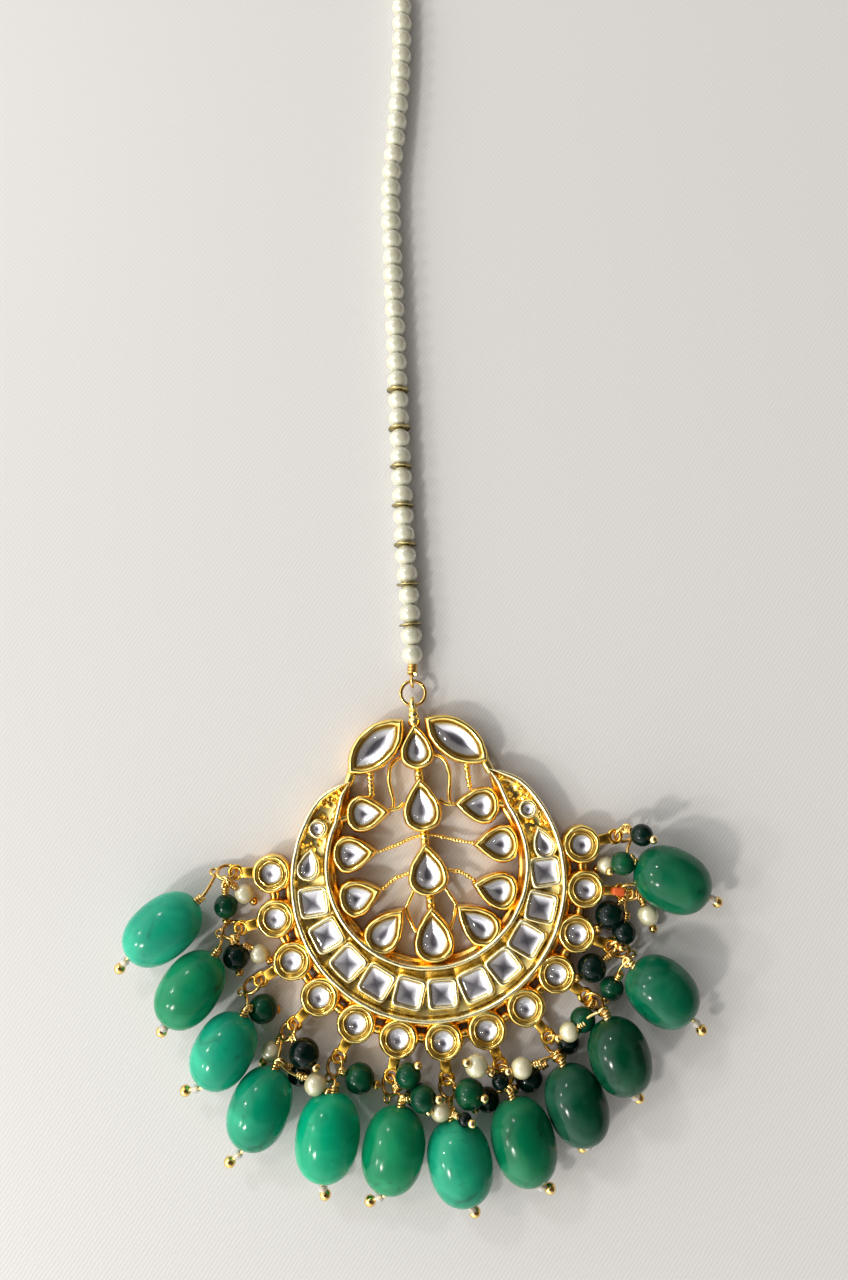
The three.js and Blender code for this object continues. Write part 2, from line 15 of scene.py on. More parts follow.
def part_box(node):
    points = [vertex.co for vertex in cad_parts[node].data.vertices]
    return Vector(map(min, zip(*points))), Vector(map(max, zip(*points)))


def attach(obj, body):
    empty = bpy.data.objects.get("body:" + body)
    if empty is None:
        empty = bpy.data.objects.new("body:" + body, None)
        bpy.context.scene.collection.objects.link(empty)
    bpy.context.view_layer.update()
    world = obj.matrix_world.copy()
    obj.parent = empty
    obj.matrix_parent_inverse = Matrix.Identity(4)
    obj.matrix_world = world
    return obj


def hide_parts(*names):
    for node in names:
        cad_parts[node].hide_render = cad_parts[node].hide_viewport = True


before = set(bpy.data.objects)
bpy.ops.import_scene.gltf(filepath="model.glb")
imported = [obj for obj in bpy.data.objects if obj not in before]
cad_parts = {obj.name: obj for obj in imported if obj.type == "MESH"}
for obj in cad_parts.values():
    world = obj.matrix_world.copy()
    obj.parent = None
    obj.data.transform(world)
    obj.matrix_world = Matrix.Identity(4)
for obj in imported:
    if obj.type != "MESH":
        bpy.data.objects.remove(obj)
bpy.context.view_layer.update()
MM = 0.001
random.seed(7)
noise.seed_set(7)

# %% [markdown]
# The camera and the light come first, so that each piece can be looked at as it is made.  The ornament
# lies under several small lamps on its left, so the key light is there, and small lamps beside it leave
# the little round reflections that polished stone shows.

# %% The camera
CAMERA_PLACE = Vector((0.57, 12.25, 130.45)) * MM
TILT = radians(8.0)
ROLL = radians(5.3)
LENS_MM = 28.125
SENSOR_MM = 36.0


def add_object(name, data):
    """A new object, linked to the scene."""
    made = bpy.data.objects.new(name, data)
    bpy.context.scene.collection.objects.link(made)
    return made


camera_data = bpy.data.cameras.new("camera")
camera_data.sensor_width = SENSOR_MM
camera_data.lens = LENS_MM
camera_data.clip_start = 0.01
camera = add_object("camera", camera_data)
camera.matrix_world = (Matrix.Translation(CAMERA_PLACE)
                       @ Matrix.Rotation(-ROLL, 4, "Z") @ Matrix.Rotation(TILT, 4, "X"))
bpy.context.scene.camera = camera

# %% The lamps
LAMP_DISTANCE = 0.6
LAMP_AIM = Vector((0, 0.01, 0))
LAMPS = [  # name, direction it shines from, size, watts, colour
    ("key", (-0.62, -0.40, 0.68), 0.06, 1.25, (1.0, 0.97, 0.92)),
    ("low_left", (-0.82, -0.25, 0.50), 0.045, 0.45, (1.0, 0.98, 0.95)),
    ("left", (-0.80, 0.18, 0.56), 0.045, 0.35, (1.0, 0.98, 0.95)),
    ("upper_left", (-0.42, 0.66, 0.62), 0.05, 0.5, (0.96, 0.98, 1.0)),
]
for name, direction, size, watts, colour in LAMPS:
    data = bpy.data.lights.new(name, "AREA")
    data.shape = "DISK"
    data.size = size
    data.energy = watts
    data.color = colour
    lamp = add_object(name, data)
    lamp.location = Vector(direction).normalized() * LAMP_DISTANCE
    lamp.rotation_euler = (LAMP_AIM - lamp.location).to_track_quat("-Z", "Y").to_euler()

# %% [markdown]
# Polished metal shows the room around it.  This room is bright at the left horizon, and dim on the right
# and overhead, where the person looking at the ornament blocks the light, so gold and glass get bright
# and dark shapes.  Rooms and finishes are made of nodes, and short helpers add and link them.

# %% Helpers for nodes
def add_node(tree, kind, values=(), **settings):
    """A node of a kind, with its settings, and with values for its inputs by name or number."""
    made = tree.nodes.new("ShaderNode" + kind)
    for label, setting in settings.items():
        setattr(made, label, setting)
    for label, value in dict(values).items():
        made.inputs[label].default_value = value
    return made


def join(tree, *rows):
    """Links.  Each row is a node, its output, the next node and its input."""
    for source, output, target, entry in rows:
        tree.links.new(source.outputs[output], target.inputs[entry])


def colour_ramp(tree, stops):
    """A colour ramp through places and colours."""
    ramp = add_node(tree, "ValToRGB")
    points = ramp.color_ramp.elements
    for number, (position, colour) in enumerate(stops):
        point = points[number] if number < 2 else points.new(position)
        point.position = position
        point.color = (*colour, 1)
    return ramp


# %% The room
SKY_TURN = (-0.62, -0.12, -0.38)
SKY_LIFT, SKY_STRENGTH = 0.50, 2.2
SKY_STOPS = [(0.0, (0.05, 0.04, 0.035)), (0.12, (0.22, 0.21, 0.20)), (0.40, (0.46, 0.46, 0.45)),
             (0.75, (1.0, 1.0, 1.0))]
OVERHEAD = {"From Min": 0.87, "From Max": 0.965, "To Min": 1.0, "To Max": 0.12}

world = bpy.data.worlds.new("room")
bpy.context.scene.world = world
world.use_nodes = True
room = world.node_tree
room.nodes.clear()
place = add_node(room, "TexCoord")
side = add_node(room, "VectorMath", {1: SKY_TURN}, operation="DOT_PRODUCT")
total = add_node(room, "Math", {1: SKY_LIFT})
ramp = colour_ramp(room, SKY_STOPS)
height = add_node(room, "SeparateXYZ")
overhead = add_node(room, "MapRange", OVERHEAD, interpolation_type="SMOOTHSTEP")
dimmed = add_node(room, "VectorMath", operation="SCALE")
back = add_node(room, "Background", {"Strength": SKY_STRENGTH})
out = add_node(room, "OutputWorld")
join(room,
     (place, "Generated", side, 0), (side, "Value", total, 0), (total, 0, ramp, 0),
     (place, "Generated", height, 0), (height, "Z", overhead, "Value"),
     (ramp, 0, dimmed, 0), (overhead, "Result", dimmed, "Scale"), (dimmed, 0, back, 0),
     (back, 0, out, 0))
bpy.context.scene.view_settings.view_transform = "Standard"

# %% [markdown]
# Three effects are shared by the finishes, so they are node groups: a fine grain that gives a value and
# a bumped normal, a tone that goes from deep colour low down to pale colour on the rims, and a cloudy
# mottle for stone.  The deep colour low down is painted shade in the hollows and between parts, and the
# pale colour on the rims is painted highlight, partly also gilding rubbed bright where fingers polish it.

# %% Node groups
FLOAT, COLOUR, VECTOR = "NodeSocketFloat", "NodeSocketColor", "NodeSocketVector"


def group(name, inputs, outputs):
    """A node group with named sockets, and the nodes at its two ends."""
    tree = bpy.data.node_groups.new(name, "ShaderNodeTree")
    for way, sockets in (("INPUT", inputs), ("OUTPUT", outputs)):
        for label, kind in sockets.items():
            tree.interface.new_socket(label, in_out=way, socket_type=kind)
    return tree, tree.nodes.new("NodeGroupInput"), tree.nodes.new("NodeGroupOutput")


def grain_group():
    tree, given, result = group("fine_grain", {"Scale": FLOAT, "Height": FLOAT, "Detail": FLOAT},
                                {"Value": FLOAT, "Normal": VECTOR})
    place = add_node(tree, "TexCoord")
    speckle = add_node(tree, "TexNoise")
    bump = add_node(tree, "Bump", {"Distance": 0.05 * MM})
    join(tree,
         (place, "Object", speckle, "Vector"), (given, "Scale", speckle, "Scale"),
         (given, "Detail", speckle, "Detail"), (speckle, "Fac", bump, "Height"),
         (given, "Height", bump, "Strength"), (speckle, "Fac", result, "Value"),
         (bump, "Normal", result, "Normal"))
    return tree


# Deep colour low down is painted shade in hollows and between parts; pale colour on the rims is painted
# highlight, with some rubbed gilding.
def shade_and_highlight_group():
    tree, given, result = group(
        "painted_shade_and_highlight_by_height", {"Low": FLOAT, "High": FLOAT, "Deep": COLOUR, "Middle": COLOUR, "Pale": COLOUR,
                           "Patchiness": FLOAT}, {"Color": COLOUR})
    turning_point = 0.6
    place = add_node(tree, "TexCoord")
    split = add_node(tree, "SeparateXYZ")
    level = add_node(tree, "MapRange")
    patches = add_node(tree, "TexNoise", {"Scale": 900})
    centred = add_node(tree, "Math", {1: 0.5}, operation="SUBTRACT")
    shifted = add_node(tree, "Math", operation="MULTIPLY_ADD")
    lower = add_node(tree, "MapRange", {"From Max": turning_point})
    upper = add_node(tree, "MapRange", {"From Min": turning_point})
    first = add_node(tree, "Mix", data_type="RGBA")
    second = add_node(tree, "Mix", data_type="RGBA")
    join(tree,
         (place, "Object", split, 0), (place, "Object", patches, "Vector"), (split, "Z", level, "Value"),
         (given, "Low", level, "From Min"), (given, "High", level, "From Max"),
         (patches, "Fac", centred, 0), (centred, 0, shifted, 0), (given, "Patchiness", shifted, 1),
         (level, "Result", shifted, 2), (shifted, 0, lower, "Value"), (shifted, 0, upper, "Value"),
         (lower, "Result", first, "Factor"), (given, "Deep", first, "A"), (given, "Middle", first, "B"),
         (upper, "Result", second, "Factor"), (first, "Result", second, "A"),
         (given, "Pale", second, "B"), (second, "Result", result, "Color"))
    return tree


def mottle_group():
    tree, given, result = group(
        "stone_mottle", {"Base": COLOUR, "Vein": COLOUR, "Cloud": COLOUR, "Vein Amount": FLOAT,
                         "Shift": VECTOR}, {"Color": COLOUR})
    place = add_node(tree, "TexCoord")
    moved = add_node(tree, "VectorMath", operation="ADD")
    cloud = add_node(tree, "TexNoise", {"Scale": 190, "Detail": 3, "Distortion": 0.6})
    vein = add_node(tree, "TexNoise", {"Scale": 260, "Detail": 5, "Distortion": 1.6})
    cloud_mask = add_node(tree, "MapRange", {"From Min": 0.45, "From Max": 0.72})
    vein_mask = add_node(tree, "MapRange", {"From Min": 0.6, "From Max": 0.74})
    strength = add_node(tree, "Math", operation="MULTIPLY")
    clouded = add_node(tree, "Mix", data_type="RGBA")
    veined = add_node(tree, "Mix", data_type="RGBA")
    join(tree,
         (place, "Object", moved, 0), (given, "Shift", moved, 1), (moved, 0, cloud, "Vector"),
         (moved, 0, vein, "Vector"), (cloud, "Fac", cloud_mask, "Value"), (vein, "Fac", vein_mask, "Value"),
         (vein_mask, "Result", strength, 0), (given, "Vein Amount", strength, 1),
         (cloud_mask, "Result", clouded, "Factor"), (given, "Base", clouded, "A"),
         (given, "Cloud", clouded, "B"), (strength, 0, veined, "Factor"), (clouded, "Result", veined, "A"),
         (given, "Vein", veined, "B"), (veined, "Result", result, "Color"))
    return tree


GRAIN, SHADE_AND_HIGHLIGHT_BY_HEIGHT, MOTTLE = grain_group(), shade_and_highlight_group(), mottle_group()

# %% Helpers for materials
def material(name, **values):
    """A material, its nodes and its shader, with uniform values on the shader's own sockets."""
    made = bpy.data.materials.new(name)
    made.use_nodes = True
    shader = made.node_tree.nodes["Principled BSDF"]
    for label, value in values.items():
        shader.inputs[label.replace("_", " ")].default_value = value
    return made, made.node_tree, shader


def put(tree, node_group, **values):
    """A shared effect, with the values that this finish gives it."""
    given = {label.replace("_", " "): value for label, value in values.items()}
    return add_node(tree, "Group", given, node_tree=node_group)


def spread(tree, fine, low, high):
    """The grain's value spread over a range."""
    span = add_node(tree, "MapRange", {"From Min": 0.3, "From Max": 0.7, "To Min": low, "To Max": high})
    join(tree, (fine, "Value", span, "Value"))
    return span


def grained(tree, shader, scale, height, rough=(), detail=3):
    """Fine grain in a shader's normal, and in its roughness between two values."""
    fine = put(tree, GRAIN, Scale=scale, Height=height, Detail=detail)
    join(tree, (fine, "Normal", shader, "Normal"))
    if rough:
        join(tree, (spread(tree, fine, *rough), "Result", shader, "Roughness"))
    return fine


def two_tone(tree, source, output, shader, low, high):
    """A base colour between two tones, by a value."""
    tone = add_node(tree, "Mix", {"A": (*low, 1), "B": (*high, 1)}, data_type="RGBA")
    join(tree, (source, output, tone, "Factor"), (tone, "Result", shader, "Base Color"))


# %% Gilding, for the casting and for the wire
def gilding(name, low, high, deep, middle, pale, rough, grain, patchy=0.5):
    made, tree, shader = material(name, Metallic=1.0)
    # The deep colour is painted shade low down, and the pale colour is painted highlight on the rims.
    tone = put(tree, SHADE_AND_HIGHLIGHT_BY_HEIGHT, Low=low * MM, High=high * MM, Deep=(*deep, 1), Middle=(*middle, 1),
               Pale=(*pale, 1), Patchiness=patchy)
    grained(tree, shader, *grain, rough)
    join(tree, (tone, "Color", shader, "Base Color"))
    return made


# In every gilding the low deep colour is painted shade, and the high pale colour is painted highlight and
# some rubbed wear; the trough's floor gets its painted shade this way.
cast_gold = gilding("cast_gold", 0.4, 3.1, (0.82, 0.37, 0.025), (1.0, 0.60, 0.09), (1.0, 0.77, 0.24),
                    rough=(0.10, 0.28), grain=(900, 0.45))
trough_gold = gilding("trough_gold", 1.6, 3.2, (0.52, 0.38, 0.10), (0.98, 0.80, 0.34), (1.0, 0.94, 0.66),
                      rough=(0.16, 0.42), grain=(1200, 0.5), patchy=0.6)
crescent_gold = gilding("crescent_gold", 0.6, 3.3, (0.64, 0.28, 0.025), (1.0, 0.74, 0.22),
                        (1.0, 0.93, 0.60), rough=(0.16, 0.40), grain=(1300, 0.3), patchy=0.4)
solder_gold = gilding("solder_gold", 0.0, 2.4, (0.50, 0.18, 0.015), (0.92, 0.52, 0.08), (1.0, 0.78, 0.28),
                      rough=(0.14, 0.3), grain=(1000, 0.4))
vein_gold = gilding("vein_gold", -0.6, 2.0, (0.82, 0.37, 0.025), (1.0, 0.62, 0.10), (1.0, 0.82, 0.30),
                    rough=(0.12, 0.3), grain=(1600, 0.3))
old_gold = gilding("old_gold", 0.0, 3.0, (0.18, 0.14, 0.05), (0.30, 0.24, 0.09), (0.50, 0.41, 0.19),
                   rough=(0.2, 0.4), grain=(2000, 0.2), patchy=0.6)
wire_gold = gilding("wire_gold", 0.0, 6.0, (0.66, 0.36, 0.09), (0.88, 0.60, 0.20), (0.97, 0.74, 0.34),
                    rough=(0.10, 0.22), grain=(2000, 0.1), patchy=0.8)

# %% [markdown]
# Kundan glass is a clear dome over a cup of silver foil.  The dome shines like any glass, but the foil
# below curves the other way, so the far side of a stone lights up, not the near one.  The coat keeps
# the mesh's own normal, and the metal under it gets that normal leaned the other way.  A value painted
# on the mesh, 0 in the middle of a stone and 1 at its girdle, picks the foil's colour: a painted dark
# reflection in the middle, the white of the silver further out, and near the girdle a painted reflection
# of the gold that the foil mirrors there.

# %% Foiled glass
FOIL_LEAN = 1.2
FOIL_WAVE = 0.35  # how far the grain shifts the colours
# Foil colours from the middle out: painted dark reflection, silver white, then painted reflection of the
# gold bezel.
FOIL_PAINTED_REFLECTION_STOPS = [(0.05, (0.34, 0.32, 0.37)), (0.30, (0.78, 0.76, 0.82)), (0.66, (1.0, 0.99, 0.98)),
              (0.80, (0.98, 0.82, 0.50)), (0.89, (0.86, 0.52, 0.12)), (0.97, (0.60, 0.33, 0.07))]


def foiled_glass():
    made, tree, shader = material("foiled_glass", Metallic=0.92, Coat_Weight=1.0, Coat_Roughness=0.04)
    rim = add_node(tree, "Attribute", attribute_name="rim")
    fine = grained(tree, shader, 420, 0.25, (0.2, 0.36), detail=2)
    wobble = add_node(tree, "Math", {1: FOIL_WAVE}, operation="MULTIPLY_ADD")
    centre = add_node(tree, "Math", {1: 0.17}, operation="SUBTRACT")
    ramp = colour_ramp(tree, FOIL_PAINTED_REFLECTION_STOPS)
    leaned = add_node(tree, "VectorMath", {1: (-FOIL_LEAN, -FOIL_LEAN, 0), 2: (0, 0, 1)},
                      operation="MULTIPLY_ADD")
    unit = add_node(tree, "VectorMath", operation="NORMALIZE")
    join(tree,
         (fine, "Value", wobble, 0), (rim, "Fac", wobble, 2), (wobble, 0, centre, 0), (centre, 0, ramp, 0),
         (ramp, "Color", shader, "Base Color"), (fine, "Normal", leaned, 0), (leaned, 0, unit, 0),
         (unit, 0, shader, "Normal"))
    return made


# %% Stone, pearl and speckled finishes
def green_stone(name, base, vein, cloud, veins, glow, rough, shift=(0, 0, 0), clear=0.0):
    made, tree, shader = material(
        name, Subsurface_Weight=glow, Subsurface_Radius=(0.2, 1.0, 0.65), Subsurface_Scale=2.6 * MM,
        Transmission_Weight=clear, IOR=1.3)
    mottle = put(tree, MOTTLE, Base=(*base, 1), Vein=(*vein, 1), Cloud=(*cloud, 1), Vein_Amount=veins,
                 Shift=shift)
    grained(tree, shader, 1200, 0.06, (rough * 0.6, rough * 1.6))
    join(tree, (mottle, "Color", shader, "Base Color"))
    return made


def pearl_finish(name, body, painted_edge_shading):
    made, tree, shader = material(
        name, Subsurface_Weight=0.7, Subsurface_Radius=(1.0, 0.95, 0.7), Subsurface_Scale=1.0 * MM,
        Coat_Weight=1.0, Coat_Roughness=0.18, Coat_IOR=2.0)
    fine = grained(tree, shader, 500, 0.05, (0.2, 0.34))
    # Towards the outline the colour turns to the edge colour: painted sheen where that is lighter, painted
    # edge shade where it is darker.
    sheen = add_node(tree, "LayerWeight", {"Blend": 0.5})
    patch = add_node(tree, "Math", operation="MULTIPLY")
    join(tree, (sheen, "Facing", patch, 0), (spread(tree, fine, 0.7, 1.2), "Result", patch, 1))
    two_tone(tree, patch, 0, shader, body, painted_edge_shading)
    return made


def speckled(name, low, high, height, **values):
    """A finish in two tones, by its grain."""
    made, tree, shader = material(name, **values)
    fine = grained(tree, shader, 1500, height)
    two_tone(tree, fine, "Value", shader, low, high)
    return made


glass = foiled_glass()
bead_green = green_stone("bead_green", (0.001, 0.036, 0.015), (0.0005, 0.010, 0.004),
                         (0.003, 0.085, 0.030), veins=0.8, glow=0.1, rough=0.12)
bead_black = green_stone("bead_black", (0.0003, 0.006, 0.0045), (0.0002, 0.002, 0.0015),
                         (0.0006, 0.014, 0.008), veins=0.7, glow=0.0, rough=0.1)
# The string pearls' edge colour is a painted sheen; the cluster pearls' darker edge colour is painted
# shade.
string_pearl = pearl_finish("string_pearl", (0.54, 0.525, 0.40), (0.60, 0.58, 0.45))
cream_pearl = pearl_finish("cream_pearl", (0.64, 0.60, 0.42), (0.42, 0.38, 0.17))
seed = speckled("seed_glass", (0.92, 0.92, 0.9), (0.75, 0.76, 0.76), 0.1, Roughness=0.12,
                Transmission_Weight=0.55)

# %% [markdown]
# The casting is made of bezels of one kind: a closed outline, drawn in smaller and smaller rings that
# rise over the rim and drop inside to the seat of the stone.  Circles moved onto the outline and bridged
# give exactly that, so one helper makes every pear, petal, leaf, round and square.

# %% Outlines, millimetres: each gives a point at an angle, at an inset from the edge
PEAR_WIDEST, TIP_SHARE = 0.77, 1.42
LEAF_FULLNESS, LEAF_TIP = 2.4, 0.92


def outline_round(across):
    return lambda inset: lambda t: ((across / 2 - inset) * sin(t), (across / 2 - inset) * cos(t))


def outline_pear(length, width):
    def inset_by(inset):
        long = length - inset * (1 + TIP_SHARE)
        wide = width - 2 * inset
        drop = inset * (1 - TIP_SHARE) / 2
        return lambda t: (wide / 2 * sin(t) * abs(sin(t / 2)) / PEAR_WIDEST,
                          long / 2 * cos(t) + drop)
    return inset_by


def outline_leaf(length, width):
    def inset_by(inset):
        long = length - 2 * TIP_SHARE * inset
        wide = width - 2 * inset
        return lambda t: (
            copysign(wide / 2 * (1 - abs(cos(t)) ** LEAF_FULLNESS) ** LEAF_TIP, sin(t)),
            long / 2 * cos(t))
    return inset_by


def outline_square(width, squareness=6):
    def inset_by(inset):
        half = width / 2 - inset
        return lambda t: [copysign(half * abs(v) ** (2 / squareness), v)
                          for v in (sin(t), cos(t))]
    return inset_by


# %% Rings stacked into a solid
def ring(bm, outline, height, count):
    """A loop of edges on an outline, at a height; millimetres in, metres out."""
    made = bmesh.ops.create_circle(bm, cap_ends=False, segments=count, radius=1.0)["verts"]
    for vert in made:
        x, y = outline(atan2(vert.co.x, vert.co.y))
        vert.co = Vector((x, y, height)) * MM
    return made, list({edge for vert in made for edge in vert.link_edges})


def move(bm, verts, matrix):
    bmesh.ops.transform(bm, matrix=matrix, verts=verts)


def stack(bm, outline, profile, matrix, count=48, rim=None):
    """Rings at (inset, height) steps, bridged, with the first and last closed, moved to their place."""
    rim_layer = bm.verts.layers.float.get("rim") or bm.verts.layers.float.new("rim")
    everything = []
    before = None
    for step, (inset, height) in enumerate(profile):
        verts, edges = ring(bm, outline(inset), height, count)
        for vert in verts:
            vert[rim_layer] = rim[step] if rim else 0.0
        if before is None:
            bmesh.ops.contextual_create(bm, geom=edges)
        else:
            bmesh.ops.bridge_loops(bm, edges=before + edges)
        before = edges
        everything += verts
    bmesh.ops.contextual_create(bm, geom=before)
    move(bm, everything, matrix)


def place_at(x, y, turn=0.0, z=0.0):
    return Matrix.Translation(Vector((x, y, z)) * MM) @ Matrix.Rotation(radians(turn), 4, "Z")


# %% Finished pieces
def finish_piece(name, bm, finish, nodes=(), smooth=True):
    """The bmesh as a piece of the ornament, riding on the frame."""
    bmesh.ops.recalc_face_normals(bm, faces=bm.faces)
    mesh = bpy.data.meshes.new(name)
    bm.to_mesh(mesh)
    bm.free()
    for polygon in mesh.polygons:
        polygon.use_smooth = smooth
    mesh.materials.append(finish)
    piece = add_object(name, mesh)
    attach(piece, "root")
    if nodes:
        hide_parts(*nodes)
    print(f"{name}: {len(mesh.polygons)} faces")
    return piece


def hand_made(bm, amount, size):
    """Moves the surface a little, smoothly, as hand work and casting do."""
    for vert in bm.verts:
        vert.co += noise.noise_vector(vert.co / (size * MM)) * amount * MM


# %% [markdown]
# Wire is drawn as a curve with a round section and made into mesh at once.  Rings and coils are wires
# too, along points that are worked out.

# %% Balls, blocks, wires, rings and coils
RIGHT, AHEAD, UP = Vector((1, 0, 0)), Vector((0, 1, 0)), Vector((0, 0, 1))


def aim(bm, verts, middle, direction):
    """Turns new verts from upright to a direction, and moves them to their place."""
    turned = direction.to_track_quat("Z", "Y").to_matrix().to_4x4()
    move(bm, verts, Matrix.Translation(middle * MM) @ turned)


def round_verts(bm, across, rings, around):
    radius = across / 2 * MM
    return bmesh.ops.create_uvsphere(bm, u_segments=around, v_segments=rings, radius=radius)["verts"]


def sphere(bm, across, place, rings, around):
    move(bm, round_verts(bm, across, rings, around), Matrix.Translation(Vector(place) * MM))


def add_block(bm, size, rounding, segments, matrix):
    """A block with rounded edges."""
    made = bmesh.ops.create_cube(bm, size=1.0)["verts"]
    bmesh.ops.scale(bm, vec=Vector(size) * MM, verts=made)
    edges = list({edge for vert in made for edge in vert.link_edges})
    bevelled = bmesh.ops.bevel(bm, geom=edges, offset=rounding * MM, segments=segments, profile=0.5,
                               affect="EDGES", material=-1)
    move(bm, list({vert for face in bevelled["faces"] for vert in face.verts}), matrix)


def add_wire(bm, points, radius, closed=False, steps=6):
    """A round wire along points, as a curve made into mesh.  Millimetres."""
    curve = bpy.data.curves.new("wire_path", "CURVE")
    curve.dimensions = "3D"
    curve.bevel_depth = radius * MM
    curve.bevel_resolution = 3
    curve.resolution_u = steps
    curve.use_fill_caps = True
    spline = curve.splines.new("BEZIER")
    spline.bezier_points.add(len(points) - 1)
    for point, place in zip(spline.bezier_points, points):
        point.co = Vector(place) * MM
        point.handle_left_type = point.handle_right_type = "AUTO"
    spline.use_cyclic_u = closed
    holder = bpy.data.objects.new("wire_path", curve)
    mesh = bpy.data.meshes.new_from_object(holder)
    bm.from_mesh(mesh)
    bpy.data.objects.remove(holder)
    bpy.data.curves.remove(curve)
    bpy.data.meshes.remove(mesh)


def add_ring(bm, middle, radius, across, along, count, wire):
    """A closed ring of wire, in the plane of two directions."""
    a, b = Vector(across).normalized(), Vector(along).normalized()
    turns = [2 * pi * i / count for i in range(count)]
    points = [Vector(middle) + radius * (cos(t) * a + sin(t) * b) for t in turns]
    add_wire(bm, points, wire, closed=True)


def coil_points(start, end, radius, turns):
    """Points of a coil wound round the line from start to end."""
    per_turn = 10
    start, end = Vector(start), Vector(end)
    axis = (end - start).normalized()
    side = axis.orthogonal().normalized()
    up = axis.cross(side)
    total = int(turns * per_turn)
    return [start.lerp(end, i / total) + radius * (cos(t) * side + sin(t) * up)
            for i, t in ((i, 2 * pi * i / per_turn) for i in range(total + 1))]


def on_arc(radius, angle, rise=0.0):
    """A place at an angle from straight down, positive to the right."""
    turn = radians(angle)
    return radius * sin(turn), rise - radius * cos(turn)


# %% [markdown]
# The crescent is a trough with a rounded rim on each side and a lower ledge inside it.  Its section is
# drawn once and spun round the middle.  Each point remembers which edge it belongs to and how far it
# stands off it, and is then pulled to that edge, so that the trough can narrow to its tips.

# %% The crescent
OUTER, INNER, INNER_RISE = 17.3, 12.2, 1.9
TIP_ANGLE, TAPER_FROM, TIP_RADIUS = 146.0, 126.0, 15.6
SPIN_RADIUS, SPIN_WIDTH = 10, 5  # the section is spun at these, before it is pulled to its edges
FLOOR_INSET, FLOOR_ABOVE = 0.76, 1.7  # the trough's floor, inside its rims
SECTION = [  # edge it belongs to (0 inner, 1 outer), distance off it, height
    (0, -0.62, 0.0), (0, -0.62, 1.25), (0, -0.52, 1.48), (0, -0.3, 1.55), (0, -0.10, 1.66),
    (0, 0.0, 2.6), (0, 0.08, 3.0), (0, 0.22, 3.2), (0, 0.42, 3.24), (0, 0.6, 3.06), (0, 0.74, 2.65),
    (0, 0.82, 2.2), (0, 0.95, 2.05), (1, -0.95, 2.05), (1, -0.82, 2.2), (1, -0.74, 2.65),
    (1, -0.6, 3.06), (1, -0.42, 3.24), (1, -0.22, 3.2), (1, -0.08, 3.0), (1, 0.0, 2.6), (1, 0.0, 0.2),
    (1, -0.15, 0.0)]


def crescent_edges(angle):
    """Inner and outer radius of the crescent at an angle from straight down."""
    turn = radians(angle)
    inner = -INNER_RISE * cos(turn) + sqrt(INNER ** 2 - (INNER_RISE * sin(turn)) ** 2)
    beyond = max(0.0, (abs(angle) - TAPER_FROM) / (TIP_ANGLE - TAPER_FROM))
    outer = OUTER + (TIP_RADIUS - OUTER) * beyond ** 2
    inner = inner + (TIP_RADIUS - inner) * beyond ** 1.4
    return inner, outer


bm = bmesh.new()
edge_layer = bm.verts.layers.float.new("edge")
off_layer = bm.verts.layers.float.new("off")
section_verts = []
for belongs, off, height in SECTION:
    x, y = on_arc(SPIN_RADIUS + belongs * SPIN_WIDTH + off, -TIP_ANGLE)
    vert = bm.verts.new(Vector((x, y, height)) * MM)
    vert[edge_layer], vert[off_layer] = belongs, off
    section_verts.append(vert)
turned_on = section_verts[1:] + section_verts[:1]
section_edges = [bm.edges.new(pair) for pair in zip(section_verts, turned_on)]
bmesh.ops.spin(bm, geom=section_verts + section_edges, cent=(0, 0, 0), axis=(0, 0, 1),
               angle=radians(2 * TIP_ANGLE), steps=180)
for vert in bm.verts:
    angle = degrees(atan2(vert.co.x, -vert.co.y))
    edges = crescent_edges(max(-TIP_ANGLE, min(TIP_ANGLE, angle)))
    room_left = min(1.0, (edges[1] - edges[0]) / 2.0)
    radius = edges[round(vert[edge_layer])] + vert[off_layer] * room_left
    x, y = on_arc(radius, angle)
    vert.co.x, vert.co.y = x * MM, y * MM
bmesh.ops.remove_doubles(bm, verts=bm.verts, dist=0.005 * MM)
bmesh.ops.holes_fill(bm, edges=bm.edges)
hand_made(bm, 0.05, 1.6)
crescent = finish_piece("crescent", bm, crescent_gold, ["pendant_frame"])
crescent.data.materials.append(trough_gold)
for polygon in crescent.data.polygons:
    middle = polygon.center / MM
    inner, outer = crescent_edges(degrees(atan2(middle.x, -middle.y)))
    inside = inner + FLOOR_INSET < middle.xy.length < outer - FLOOR_INSET
    polygon.material_index = int(inside and middle.z > FLOOR_ABOVE)

# %% [markdown]
# The bezels of the centre: four pears down the middle, four petals on each side and two leaves on top.

# %% Centre bezels and their glass
COLUMN = [("top", 16.65, 6.0, 4.4), ("upper", 9.3, 7.0, 5.0), ("middle", 1.3, 6.8, 5.2),
          ("lower", -6.7, 7.0, 5.2)]
PETALS = [  # name, tip x, tip y, end x, end y, width
    ("petal_left_1", -4.0, 8.7, -9.7, 8.9, 4.8), ("petal_left_2", -6.0, 4.0, -11.8, 4.0, 4.8),
    ("petal_left_3", -5.8, -0.7, -11.4, -1.9, 4.8), ("petal_left_4", -3.4, -3.2, -8.0, -7.9, 4.7),
    ("petal_right_1", 4.0, 9.0, 9.8, 8.2, 4.8), ("petal_right_2", 5.9, 3.7, 11.75, 3.4, 4.8),
    ("petal_right_3", 5.3, -1.0, 10.9, -2.9, 4.8), ("petal_right_4", 3.1, -3.4, 7.8, -8.1, 4.7)]
LEAF = (1.35, 20.2, 8.95, 13.9, 5.1)
